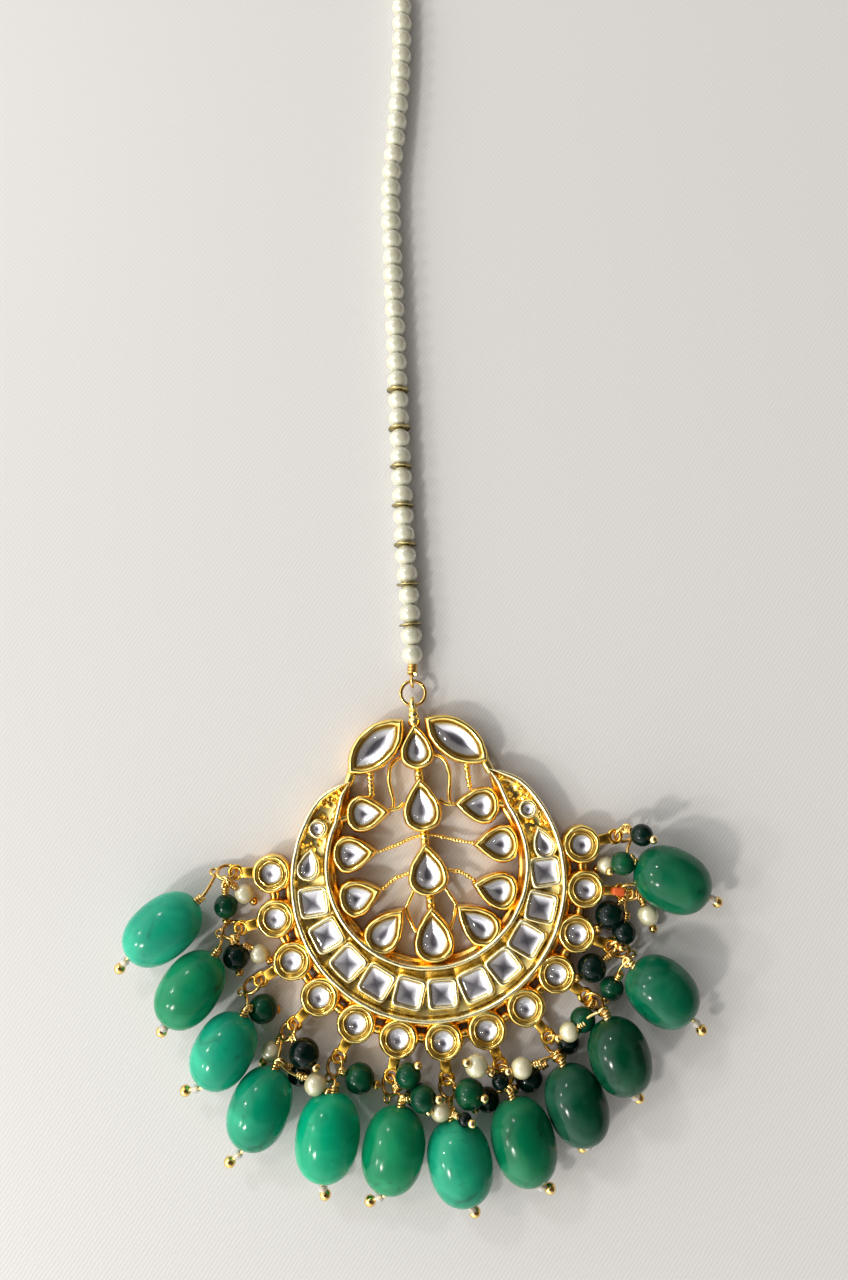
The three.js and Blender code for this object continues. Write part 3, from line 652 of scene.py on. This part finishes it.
RIM_PROFILE = [(0.10, 0.0), (0.0, 0.2), (0.0, 2.0), (0.04, 2.4), (0.16, 2.78), (0.34, 3.0), (0.5, 3.02),
               (0.66, 2.9), (0.82, 2.68), (0.94, 2.45)]
GLASS_DOME = [(0.0, 1.9), (0.0, 2.5), (0.05, 2.64), (0.16, 2.84), (0.32, 3.04), (0.52, 3.2), (0.72, 3.3),
              (0.9, 3.34)]  # share of the way in from the girdle to the middle, height
GLASS_RIM = [1.0, 1.0, 0.92, 0.78, 0.58, 0.36, 0.18, 0.04]

metal = bmesh.new()


def dome(seat, width, drop=0.0):
    """Steps of a domed stone: its girdle stands in from the outline by the width of the seat."""
    half = width / 2 - seat
    return [(seat + share * half, height - drop) for share, height in GLASS_DOME]


STONE_SEAT, RAISED = 0.88, 0.1


def set_stone(name, outline, width, matrix, node, lift=0.0):
    raised = [(inset, height + lift * (height > 1)) for inset, height in RIM_PROFILE]
    stack(metal, outline, raised, matrix)
    bm = bmesh.new()
    stack(bm, outline, dome(STONE_SEAT, width, -lift), matrix, rim=GLASS_RIM)
    finish_piece(name, bm, glass, [node])


def from_tip(tip_x, tip_y, end_x, end_y):
    """Length, and the place of an outline whose tip and far end are given."""
    turn = degrees(atan2(end_x - tip_x, tip_y - end_y))
    spot = place_at((tip_x + end_x) / 2, (tip_y + end_y) / 2, turn)
    return hypot(end_x - tip_x, end_y - tip_y), spot


for name, y, length, width in COLUMN:
    set_stone(f"glass_{name}", outline_pear(length, width), width, place_at(0, y), f"stone_{name}", RAISED)
for name, tip_x, tip_y, end_x, end_y, width in PETALS:
    length, spot = from_tip(tip_x, tip_y, end_x, end_y)
    set_stone(f"glass_{name}", outline_pear(length, width), width, spot, f"stone_{name}")
for side, name in ((-1, "leaf_left"), (1, "leaf_right")):
    tip_x, tip_y, end_x, end_y, width = LEAF
    length, spot = from_tip(side * tip_x, tip_y, side * end_x, end_y)
    set_stone(f"glass_{name}", outline_leaf(length, width), width, spot, f"stone_{name}", RAISED)

# %% [markdown]
# Round bezels run outside the crescent.  Each has a second thin ring inside its rim, so its profile
# dips to a groove and rises again before the glass.

# %% Round bezels, their glass, tabs and solder
ROUND_EACH, ROUND_STEP, ROUND_RADIUS, ROUND_RISE, ROUND_ACROSS = 6, 16.1, 19.65, 0.25, 4.9
LOOP_REACH, LOOP_RADIUS, LOOP_HEIGHT, LOOP_WIRE = 24.2, 0.74, 1.6, 0.28
TAB_WIDTH, TAB_THICK = 1.3, 0.55
ROUND_PROFILE = [(0.12, 0.0), (0.0, 0.2), (0.0, 2.1), (0.06, 2.55), (0.22, 2.88), (0.42, 3.0), (0.58, 2.88),
                 (0.68, 2.62), (0.74, 2.5), (0.82, 2.56), (0.92, 2.68), (1.02, 2.66), (1.1, 2.4)]
ROUND_SEAT, ROUND_SUNK = 1.06, 0.15

round_glass = bmesh.new()
round_spots = []
for k in range(-ROUND_EACH, ROUND_EACH + 1):
    angle = k * ROUND_STEP
    x, y = on_arc(ROUND_RADIUS, angle, ROUND_RISE)
    round_spots.append((k + ROUND_EACH + 1, angle, x, y))
    round_outline, spot = outline_round(ROUND_ACROSS), place_at(x, y, angle)
    stack(metal, round_outline, ROUND_PROFILE, spot, 40)
    stack(round_glass, round_outline, dome(ROUND_SEAT, ROUND_ACROSS, ROUND_SUNK), spot, 40, rim=GLASS_RIM)
    start, end = ROUND_RADIUS + ROUND_ACROSS / 2 - 0.2, LOOP_REACH - LOOP_RADIUS + 0.1
    tab_x, tab_y = on_arc((start + end) / 2, angle, ROUND_RISE)
    add_block(metal, (TAB_WIDTH, end - start, TAB_THICK), 0.12, 2,
              place_at(tab_x, tab_y, angle, LOOP_HEIGHT))
    loop_x, loop_y = on_arc(LOOP_REACH, angle, ROUND_RISE)
    add_ring(metal, (loop_x, loop_y, LOOP_HEIGHT), LOOP_RADIUS, RIGHT, AHEAD, 8, LOOP_WIRE)
finish_piece("round_glass", round_glass, glass)
hand_made(metal, 0.1, 0.9)
finish_piece("bezels", metal, cast_gold, ["pendant_frame"])

# %% [markdown]
# The squares in the trough sit corner to corner in thin boxes.  Towards each tip a small pear and a
# small round follow, and then the floor is left rough, with grains of metal cast into it.

# %% The stones in the trough
SQUARE_EACH, SQUARE_STEP, SQUARE_TURN, SQUARE_WIDTH = 5, 17.3, 2.0, 4.15
BOX_PROFILE = [(0.0, 1.8), (0.0, 2.5), (0.05, 2.74), (0.16, 2.88), (0.32, 2.95), (0.44, 2.82), (0.54, 2.6)]
BOX_GLASS = [(0.5, 1.9), (0.5, 2.6), (0.58, 2.7), (0.74, 2.79), (1.0, 2.87), (1.3, 2.93), (1.6, 2.97),
             (1.85, 2.99)]
BOX_RIM = [1.0, 1.0, 0.84, 0.6, 0.4, 0.22, 0.1, 0.02]
SMALL_STONES = [  # outline, radius, angle, turn, share of the square's profile, seat, points
    (outline_pear(4.3, 3.0), 15.1, 102.5, 14.0, 0.62, 0.15, 32),
    (outline_round(2.5), 15.25, 119.5, 0.0, 0.55, 0.2, 24)]

trough = bmesh.new()
trough_glass = bmesh.new()
for k in range(-SQUARE_EACH, SQUARE_EACH + 1):
    angle = SQUARE_TURN + k * SQUARE_STEP
    x, y = on_arc(sum(crescent_edges(angle)) / 2, angle)
    spot = place_at(x, y, angle + random.uniform(-4, 4))
    size = SQUARE_WIDTH * random.uniform(0.95, 1.0)
    stack(trough, outline_square(size), BOX_PROFILE, spot, 32)
    stack(trough_glass, outline_square(size, 7), BOX_GLASS, spot, 32, rim=BOX_RIM)
for outline, radius, angle, turn, share, seat, count in SMALL_STONES:
    small_profile = [(inset * share + seat, height) for inset, height in BOX_GLASS]
    for side in (-1, 1):
        spot = place_at(*on_arc(radius, side * angle), side * turn)
        stack(trough, outline, BOX_PROFILE, spot, count)
        stack(trough_glass, outline, small_profile, spot, count, rim=GLASS_RIM)
hand_made(trough, 0.06, 0.9)
finish_piece("trough_boxes", trough, trough_gold)
finish_piece("trough_glass", trough_glass, glass)

# %% Grains cast into the floor of the trough
grains = bmesh.new()
for side in (-1, 1):
    for _ in range(34):
        angle = random.uniform(109.0, 141.0)
        inner, outer = crescent_edges(angle)
        radius = random.uniform(inner + 0.8, max(inner + 0.85, outer - 0.8))
        x, y = on_arc(radius, side * angle)
        made = bmesh.ops.create_icosphere(grains, subdivisions=1, radius=random.uniform(0.25, 0.55) * MM)
        move(grains, made["verts"], place_at(x, y, random.uniform(0, 90), random.uniform(1.9, 2.1)))
hand_made(grains, 0.2, 0.4)
finish_piece("trough_grains", grains, cast_gold, smooth=False)

# %% [markdown]
# Solder has run between the rounds and the crescent and left small open triangles.  Thin veins tie the
# petals to the middle.  Both are wires and short blobs.

# %% Solder, bridges and veins
solder = bmesh.new()
for number, angle, x, y in round_spots:
    root_x, root_y = on_arc(OUTER - 0.2, angle)
    add_wire(solder, [(root_x, root_y, 0.9), (x * 0.93, y * 0.93, 0.9)], 0.95)
web = [(*on_arc(OUTER + 0.25, angle), 1.0) for angle in range(-99, 100, 6)]
add_wire(solder, web, 0.62, steps=3)
for (_, _, ax, ay), (_, _, bx, by) in zip(round_spots, round_spots[1:]):
    middle = ((ax + bx) / 2, (ay + by) / 2, 1.35)
    one, other = Vector((ax, ay, 1.2)), Vector((bx, by, 1.2))
    add_wire(solder, [one.lerp(other, 0.36), middle, one.lerp(other, 0.64)], 0.62, steps=4)
hand_made(solder, 0.12, 0.8)
finish_piece("solder", solder, solder_gold)

VEINS = [  # plain wire
    [(1.9, 15.6), (3.3, 14.7), (3.85, 13.26), (3.81, 11.6), (3.55, 10.0), (3.7, 9.0)],
    [(2.3, 9.7), (2.95, 9.13), (4.4, 8.95)],
    [(2.0, -1.3), (2.73, -2.61), (3.16, -3.4)],
    [(3.16, -3.3), (2.8, -4.8), (2.15, -6.4)],
]
BEADED = [  # wire strung with grains of solder: its path and the size of a grain
    ([(0.2, 5.5), (1.83, 5.15), (3.75, 4.48), (6.4, 3.8)], 0.62),
    ([(2.4, 0.95), (4.02, 0.48), (4.96, -0.09), (6.0, -0.9)], 0.62),
    ([(6.1, 15.0), (6.22, 12.7), (6.3, 10.6)], 0.95),
]
BRIDGES = [  # short blobs of solder that hold the leaves and the upper petals: radius and path
    (0.55, [(1.9, 17.3, 1.2), (2.9, 17.0, 1.2)]),
    (0.6, [(8.5, 14.6, 1.3), (8.8, 13.4, 1.4), (9.2, 12.6, 1.4)]),
    (0.6, [(9.6, 8.6, 1.1), (10.8, 8.2, 1.1), (11.4, 7.6, 1.1)]),
]
VEIN_HEIGHT, VEIN_WIRE, BEADED_WIRE = 1.3, 0.27, 0.2


def grains_along(bm, points, across):
    """Overlapping grains along a path."""
    for a, b in zip(points, points[1:]):
        a, b = Vector(a), Vector(b)
        count = max(2, round((b - a).length / (across * 0.62)))
        for i in range(count):
            sphere(bm, across * random.uniform(0.75, 1.2), a.lerp(b, i / count), 6, 8)


veins = bmesh.new()
for side in (-1, 1):
    for path in VEINS:
        add_wire(veins, [(side * x, y, VEIN_HEIGHT) for x, y in path], VEIN_WIRE)
    for path, across in BEADED:
        raised = [(side * x, y, VEIN_HEIGHT + 0.05) for x, y in path]
        add_wire(veins, raised, BEADED_WIRE)
        grains_along(veins, raised, across)
    for radius, path in BRIDGES:
        add_wire(veins, [(side * x, y, z) for x, y, z in path], radius)
for (_, y_up, long_up, _), (_, y_low, long_low, _) in zip(COLUMN, COLUMN[1:]):
    top, bottom = y_up - long_up / 2 + 0.4, y_low + long_low / 2 - 0.6
    add_wire(veins, [(0, top, 1.1), (0, bottom, 1.1)], 0.6)
    sphere(veins, 1.1, (0, (top + bottom) / 2 + 0.1, 1.7), 8, 12)
EYE_Y, EYE_RADIUS = 21.95, 0.8
add_wire(veins, [(0, 19.2, 1.7), (0, 21.3, 1.6)], 0.5)
for y, across in ((19.8, 1.7), (20.7, 1.45), (21.4, 1.2)):
    sphere(veins, across, (0, y, 1.65), 8, 12)
add_ring(veins, (0, EYE_Y, LOOP_HEIGHT), EYE_RADIUS, AHEAD, UP, 10, 0.33)
hand_made(veins, 0.05, 0.8)
finish_piece("veins", veins, vein_gold)

# %% [markdown]
# The drops are polished ovals of cloudy green stone, drilled end to end.  Half a section is drawn and
# spun round the drop's axis, and the hole's edge is part of the section.  Their greens go from paler on
# the left to deeper on the right, partly the stones' own colour and partly painted shade away from the
# lamps on the left, so each has a finish of its own with its own veins.

# %% The green drops
DROPS = [  # bezel, turn, length, width
    (1, 214, 10.4, 7.5), (2, 230, 9.9, 7.3), (3, 236, 9.4, 7.3), (4, 244, 9.8, 7.3), (5, 257, 10.3, 7.7),
    (6, 255, 10.0, 7.5), (7, 277, 9.9, 7.7), (8, 280, 10.2, 7.6), (9, 284, 9.7, 7.3),
    (10, 282, 9.2, 7.3), (11, 313, 9.2, 7.8), (13, 329, 9.7, 7.8)]
DROP_HOLE, FULLNESS, DROP_STEPS = 0.42, 2.25, 24
# Deeper greens towards the right hold painted shade away from the lamps, on top of the stones' own colour.
DROP_GREENS_WITH_PAINTED_SHADE = [(0.010, 0.38, 0.236), (0.001, 0.26, 0.110), (0.008, 0.38, 0.226), (0.001, 0.30, 0.162),
          (0.001, 0.40, 0.205), (0.001, 0.25, 0.103), (0.005, 0.31, 0.173), (0.0004, 0.17, 0.069),
          (0.0004, 0.067, 0.030), (0.0004, 0.060, 0.023), (0.0004, 0.135, 0.063), (0.0004, 0.130, 0.054)]


def drop_middle(number):
    low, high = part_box(f"drop_{number}")
    return (low + high) / 2 / MM


def drop_shape(length, width):
    bm = bmesh.new()
    half = length / 2
    section = []
    for i in range(DROP_STEPS + 1):
        along = -cos(pi * i / DROP_STEPS)
        radius = width / 2 * (1 - abs(along) ** FULLNESS) ** (1 / FULLNESS)
        section.append(bm.verts.new(Vector((max(DROP_HOLE, radius), half * along, 0)) * MM))
    edges = [bm.edges.new((a, b)) for a, b in zip(section, section[1:] + section[:1])]
    bmesh.ops.spin(bm, geom=section + edges, cent=(0, 0, 0), axis=(0, 1, 0), angle=2 * pi,
                   steps=40, use_merge=True)
    bmesh.ops.remove_doubles(bm, verts=bm.verts, dist=0.002 * MM)
    return bm


for number, ((bezel, turn, length, width), green) in enumerate(zip(DROPS, DROP_GREENS_WITH_PAINTED_SHADE), 1):
    middle = drop_middle(number)
    bm = drop_shape(length, width)
    move(bm, bm.verts, place_at(middle.x, middle.y, turn - 90, middle.z))
    deep = tuple(v * 0.22 for v in green)
    cloud = tuple(v * 1.45 + 0.025 for v in green)
    stone = green_stone(f"drop_stone_{number}", green, deep, cloud, veins=0.6, glow=0.75, rough=0.14,
                        shift=(0.013 * number, 0.007 * number, 0.0), clear=0.3)
    finish_piece(f"green_drop_{number}", bm, stone, [f"drop_{number}"])

# %% [markdown]
# At every tab a jump ring holds the head pin of a drop and a few small beads on wire loops.  The wires
# are all one piece and the beads are gathered by finish.  Beads and drops lie where the CAD solids have
# them, and only the balls at the ends of the drops' pins have places of their own.

# %% Small beads, millimetres: bezel, place, across
BEADS = {
    "green": [(1, -25.6, -1.0, 1.6, 3.0), (3, -21.8, -13.7, 1.9, 3.6), (5, -10.6, -22.9, 2.0, 3.7),
        (6, -4.6, -22.8, 3.4, 3.1), (6, -3.0, -25.2, 4.8, 3.2), (6, -3.8, -25.6, 1.6, 3.0),
        (7, 2.6, -25.4, 3.9, 3.7), (10, 17.2, -18.3, 3.2, 3.1), (11, 21.4, -15.3, 1.6, 3.0),
        (13, 24.2, -0.2, 3.7, 3.0)],
    "black": [(2, -24.7, -7.2, 1.8, 3.3), (4, -16.9, -19.0, 3.5, 3.7), (4, -17.9, -21.8, 1.6, 2.9),
        (7, 1.7, -27.6, 6.0, 1.7), (8, 4.7, -26.9, 1.6, 3.0), (8, 6.4, -24.3, 3.9, 2.1),
        (9, 10.0, -24.8, 1.8, 3.4), (10, 15.3, -21.2, 1.5, 2.8), (11, 19.2, -12.6, 1.9, 3.6),
        (12, 22.1, -6.5, 1.9, 3.6), (12, 23.6, -8.7, 2.2, 3.0), (13, 26.8, 3.1, 4.5, 2.8)],
    "pearl": [(1, -23.3, 0.3, 1.3, 2.5), (2, -21.9, -7.2, 1.3, 2.4), (4, -21.2, -18.9, 1.4, 2.5),
        (4, -15.8, -22.6, 3.9, 2.7), (7, -1.1, -26.9, 4.4, 2.4), (8, 3.7, -22.0, 4.9, 2.8),
        (9, 9.1, -22.9, 4.3, 2.6), (10, 15.3, -19.4, 3.9, 2.4), (12, 27.0, -7.0, 1.5, 2.7),
        (13, 22.5, -0.5, 1.3, 2.4)],
}
JUMP_RADIUS, JUMP_WIRE = 1.2, 0.23
PIN_WIRE, SEED_ACROSS, BALL_ACROSS, BALL_HEIGHT = 0.22, 1.15, 1.4, 3.0
BEAD_WIRE, BEAD_BALL, EYE_WIRE, EYE_ACROSS = 0.2, 1.1, 0.21, 0.55
COIL_WIRE, COIL_TURNS, NECK = 0.16, 3, 0.9  # the neck is the coiled wire between ring and drop
DIMPLE_FROM, DIMPLE = 0.97, 0.86  # where a bead's pole begins, and how far it is pressed in
PIN_ENDS = [  # where the ball at the end of each drop's pin lies
    (-38.8, -7.1), (-34.1, -15.0), (-31.6, -22.1), (-26.8, -30.7), (-15.7, -35.4), (-10.4, -36.6),
    (1.9, -39.0), (11.1, -37.2), (15.5, -32.9), (22.9, -28.0), (31.5, -20.9), (35.4, -6.0)]

# %% Wires, jump rings, pins and beads
wires, balls, seeds = bmesh.new(), bmesh.new(), bmesh.new()
by_kind = {kind: bmesh.new() for kind in BEADS}


def small_bead(kind, middle, across, axis):
    """A round bead, its poles on its wire, slightly dimpled there where the hole is."""
    bm = by_kind[kind]
    made = round_verts(bm, across, 16, 24)
    for vert in made:
        if abs(vert.co.z) > across / 2 * MM * DIMPLE_FROM:
            vert.co.z *= DIMPLE
    aim(bm, made, middle, axis)


def towards(turn):
    """A flat direction, at an angle from the right."""
    return Vector((cos(radians(turn)), sin(radians(turn)), 0))


# %% One cluster at each tab
for number, angle, _, _ in round_spots:
    ring_x, ring_y = on_arc(LOOP_REACH + JUMP_RADIUS, angle, ROUND_RISE)
    outward = Vector((*on_arc(1.0, angle), 0))
    lean = radians(random.uniform(38, 62))
    up = sin(lean) * towards(angle) + Vector((0, 0, cos(lean)))
    middle = Vector((ring_x, ring_y, LOOP_HEIGHT))
    add_ring(wires, middle, JUMP_RADIUS, outward, up, 12, JUMP_WIRE)
    holds = [middle + outward * JUMP_RADIUS, middle + up * JUMP_RADIUS, middle]
    own_drops = [(order, turn, length) for order, (bezel, turn, length, _) in enumerate(DROPS, 1)
                 if bezel == number]
    for order, turn, length in own_drops:
        holds.append(drop_middle(order) - towards(turn) * (length / 2 + NECK))
    own_beads = [(kind, *bead[1:]) for kind, beads in BEADS.items() for bead in beads if bead[0] == number]
    for kind, x, y, z, across in own_beads:
        spot = Vector((x, y, z))
        hold = min(holds, key=lambda point: (point - spot).length)
        away = (spot - hold).normalized()
        small_bead(kind, spot, across, away)
        tip = spot + away * (across / 2 + 0.4)
        tip.z = max(tip.z, 0.7)
        entry = spot - away * (across / 2 + 0.1)
        sag = hold.lerp(entry, 0.5) + away.cross(UP) * 0.35
        add_wire(wires, [hold, sag, entry, tip], BEAD_WIRE)
        sphere(balls, BEAD_BALL, tip, 10, 14)
        turns_from = entry.lerp(hold, min(0.8, 1.0 / (entry - hold).length))
        add_wire(wires, coil_points(turns_from, entry, 0.34, COIL_TURNS), COIL_WIRE, steps=3)
        eye = hold + away * 0.25
        eye.z = max(eye.z, 0.9)
        add_ring(wires, eye, EYE_ACROSS, away, away.orthogonal(), 8, EYE_WIRE)
    for order, turn, length in own_drops:
        centre, axis = drop_middle(order), towards(turn)
        inner, outer = centre - axis * length / 2, centre + axis * length / 2
        neck = inner - axis * NECK
        ball = Vector((*PIN_ENDS[order - 1], BALL_HEIGHT))
        if (ball - outer).length <= 1.0:
            ball = outer + axis
        seed_spot = outer.lerp(ball, 0.42)
        add_wire(wires, [holds[0], neck, inner], PIN_WIRE)
        add_wire(wires, [inner, outer, seed_spot, ball], PIN_WIRE)
        coil = coil_points(neck - axis * 0.1, inner + axis * 0.1, 0.42, COIL_TURNS)
        add_wire(wires, coil, 0.15, steps=3)
        add_ring(wires, holds[0] + outward * 0.35, 0.5, outward, up, 8, 0.17)
        sphere(seeds, SEED_ACROSS, seed_spot, 10, 14)
        sphere(balls, BALL_ACROSS, ball, 14, 20)
clusters = [f"cluster_{number}" for number, *_ in round_spots]
finish_piece("cluster_wires", wires, wire_gold, clusters)
finish_piece("pin_balls", balls, wire_gold)
finish_piece("seed_beads", seeds, seed)
finish_piece("green_beads", by_kind["green"], bead_green)
finish_piece("black_beads", by_kind["black"], bead_black)
finish_piece("cluster_pearls", by_kind["pearl"], cream_pearl)

# %% [markdown]
# The string is a row of pearls on a thread.  In the part near the pendant a thin gilt disc sits after
# every second pearl.  Pearls are set at equal steps along one curve, which is how they fall on a cord.

# %% The pearl string
STRING_PATH = [
    (0.5, 27.2), (0.8, 35.8), (0.9, 42.5), (1.4, 54.8), (2.3, 73.2), (2.9, 84.8), (3.2, 90.4),
    (3.8, 96.0), (4.8, 101.2), (6.3, 110.3), (7.3, 119.0), (7.8, 127.0), (8.1, 133.0)]
PEARL_LONG, PEARL_ACROSS, PEARL_COUNT = 2.54, 2.84, 38
PER_DISC, DISCS, DISC_ROOM, DISC_THICK, DISC_ACROSS = 2, 7, 0.26, 0.15, 3.0
STRING_HEIGHT = DISC_ACROSS / 2
PEARL_SQUASH = 1.09  # pearls on a tight thread press into one another by this share


def smooth_path(points, per_span=40):
    """A Catmull-Rom curve through flat points, as close samples."""
    padded = [points[0], *points, points[-1]]
    samples = []
    for a, b, c, d in zip(padded, padded[1:], padded[2:], padded[3:]):
        a, b, c, d = (Vector(p) for p in (a, b, c, d))
        for i in range(per_span):
            t = i / per_span
            samples.append(0.5 * (2 * b + (c - a) * t + (2 * a - 5 * b + 4 * c - d) * t * t
                                  + (3 * b - a - 3 * c + d) * t ** 3))
    return samples


string_samples = smooth_path(STRING_PATH)


def along_string(distance):
    """The point at a distance along the string, and the way it runs there."""
    gone = 0.0
    for a, b in zip(string_samples, string_samples[1:]):
        step = (b - a).length
        if gone + step >= distance:
            flat = a.lerp(b, (distance - gone) / step)
            return Vector((*flat, STRING_HEIGHT)), Vector((*(b - a).normalized(), 0))
        gone += step
    raise ValueError("the string is longer than its path")


# %% Pearls, discs and thread
pearls, discs, thread = bmesh.new(), bmesh.new(), bmesh.new()
STRING_FROM, THREAD_STEPS, THREAD_WIRE, DISC_LEAN = 0.05, 30, 0.3, 0.06
distance = STRING_FROM
for count in range(1, PEARL_COUNT + 1):
    middle, ahead = along_string(distance + PEARL_LONG / 2)
    made = round_verts(pearls, 1.0, 16, 24)
    across = PEARL_ACROSS * random.uniform(0.97, 1.0)
    bmesh.ops.scale(pearls, vec=(across, across, PEARL_LONG * PEARL_SQUASH), verts=made)
    aim(pearls, made, middle, ahead)
    distance += PEARL_LONG
    if count % PER_DISC == 0 and count // PER_DISC <= DISCS:
        middle, ahead = along_string(distance + DISC_ROOM / 2)
        radius = DISC_ACROSS / 2 * MM
        made = bmesh.ops.create_cone(discs, cap_ends=True, segments=28, radius1=radius, radius2=radius,
                                     depth=DISC_THICK * MM)["verts"]
        lean = Vector((random.uniform(-DISC_LEAN, DISC_LEAN), 0, random.uniform(-DISC_LEAN, DISC_LEAN)))
        aim(discs, made, middle, ahead + lean)
        distance += DISC_ROOM
string_end, _ = along_string(distance)
thread_step = (distance - STRING_FROM) / THREAD_STEPS
add_wire(thread, [along_string(STRING_FROM + i * thread_step)[0] for i in range(THREAD_STEPS + 1)],
         THREAD_WIRE)
finish_piece("string_pearls", pearls, string_pearl, ["pearl_string"])
finish_piece("string_discs", discs, old_gold)
finish_piece("string_thread", thread, string_pearl)

# %% [markdown]
# A jump ring joins the pendant to the string.  Each end of the string is wire, turned to an eye and
# wrapped round its neck, and the far eye holds a plain hook for the hair.

# %% Ring, wrapped ends and hook
RING_X, RING_Y, RING_RADIUS, RING_WIRE = 0.2, 23.5, 1.58, 0.24
STRING_START = Vector((0.5, 27.3, 1.35))
link = bmesh.new()
add_ring(link, (RING_X, RING_Y, LOOP_HEIGHT), RING_RADIUS, RIGHT, AHEAD, 16, RING_WIRE)
finish_piece("top_ring", link, wire_gold, ["jump_ring"])

ends = bmesh.new()
low_eye = RING_Y + RING_RADIUS
add_ring(ends, (RING_X, low_eye, LOOP_HEIGHT), 0.75, AHEAD, UP, 10, 0.2)
add_wire(ends, coil_points((0.3, low_eye + 0.8, 1.5), STRING_START, 0.5, 3.5), 0.2, steps=3)
add_wire(ends, [(0.25, low_eye + 0.6, 1.55), STRING_START], 0.25)
far_x, far_y = string_end.x, string_end.y + 2.1
add_wire(ends, coil_points(string_end, string_end + AHEAD * 1.1, 0.42, 4), 0.18, steps=3)
add_wire(ends, [string_end, string_end + AHEAD * 1.2], 0.25)
add_ring(ends, (far_x, far_y, STRING_HEIGHT), 1.1, AHEAD, UP, 10, 0.2)
finish_piece("string_wire_ends", ends, wire_gold)

hook_low, hook_high = (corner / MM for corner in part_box("hair_hook"))
HOOK_WIRE, HOOK_EYE, HOOK_WIDTH = 0.35, 1.0, 4.0
hook_z = (hook_low.z + hook_high.z) / 2
eye_y = far_y + HOOK_EYE
bend_radius = HOOK_WIDTH / 2
bend_y = hook_high.y - HOOK_WIRE - bend_radius
hook = bmesh.new()
add_ring(hook, (far_x, eye_y, hook_z), HOOK_EYE, RIGHT, AHEAD, 12, HOOK_WIRE)
bend = [Vector((far_x + bend_radius, bend_y, hook_z)) + bend_radius * towards(turn)
        for turn in range(180, -1, -20)]
add_wire(hook, [(far_x, eye_y + HOOK_EYE, hook_z), *bend, (far_x + HOOK_WIDTH, bend_y - 2.1, hook_z)],
         HOOK_WIRE)
finish_piece("hook", hook, wire_gold, ["hair_hook"])

# %% [markdown]
# One tab, the second from the right, carries a small red block, which looks like lacquer or sealing wax.

# %% The dab of red lacquer on one tab
DAB_REACH, DAB_SIZE = 23.9, Vector((1.0, 1.5, 0.9))
dab_x, dab_y = on_arc(DAB_REACH, round_spots[11][1], ROUND_RISE)
dab = bmesh.new()
dab_place = place_at(dab_x, dab_y, round_spots[11][1], LOOP_HEIGHT + DAB_SIZE.z / 2)
add_block(dab, DAB_SIZE, 0.2, 3, dab_place)
lacquer = speckled("red_lacquer", (0.55, 0.05, 0.01), (0.75, 0.16, 0.03), 0.3, Roughness=0.35)
finish_piece("lacquer_dab", dab, lacquer)

# %% [markdown]
# The floor is a plain pale cloth with a fine weave.  It isn't part of the ornament, so it is staged.

# %% The floor
FLOOR_SIZE, FLOOR_PLACE = 0.9, (0, 0.02, -0.00005)
floor_bm = bmesh.new()
bmesh.ops.create_grid(floor_bm, x_segments=1, y_segments=1, size=FLOOR_SIZE)
bmesh.ops.translate(floor_bm, vec=FLOOR_PLACE, verts=floor_bm.verts)
floor_mesh = bpy.data.meshes.new("floor")
floor_bm.to_mesh(floor_mesh)
floor_bm.free()
floor = add_object("floor", floor_mesh)
cloth, tree, shader = material("pale_satin", Roughness=0.5, Sheen_Weight=0.3)
place = add_node(tree, "TexCoord")
turned = add_node(tree, "Mapping", {"Rotation": (0, 0, radians(40))})
weave = add_node(tree, "TexWave", {"Scale": 700, "Distortion": 2.5, "Detail": 3})
bump = add_node(tree, "Bump", {"Strength": 0.15, "Distance": 0.06 * MM})
join(tree, (place, "Object", turned, 0), (turned, 0, weave, 0), (weave, "Fac", bump, "Height"),
     (bump, 0, shader, "Normal"))
two_tone(tree, weave, "Fac", shader, (0.595, 0.58, 0.56), (0.65, 0.635, 0.615))
floor_mesh.materials.append(cloth)
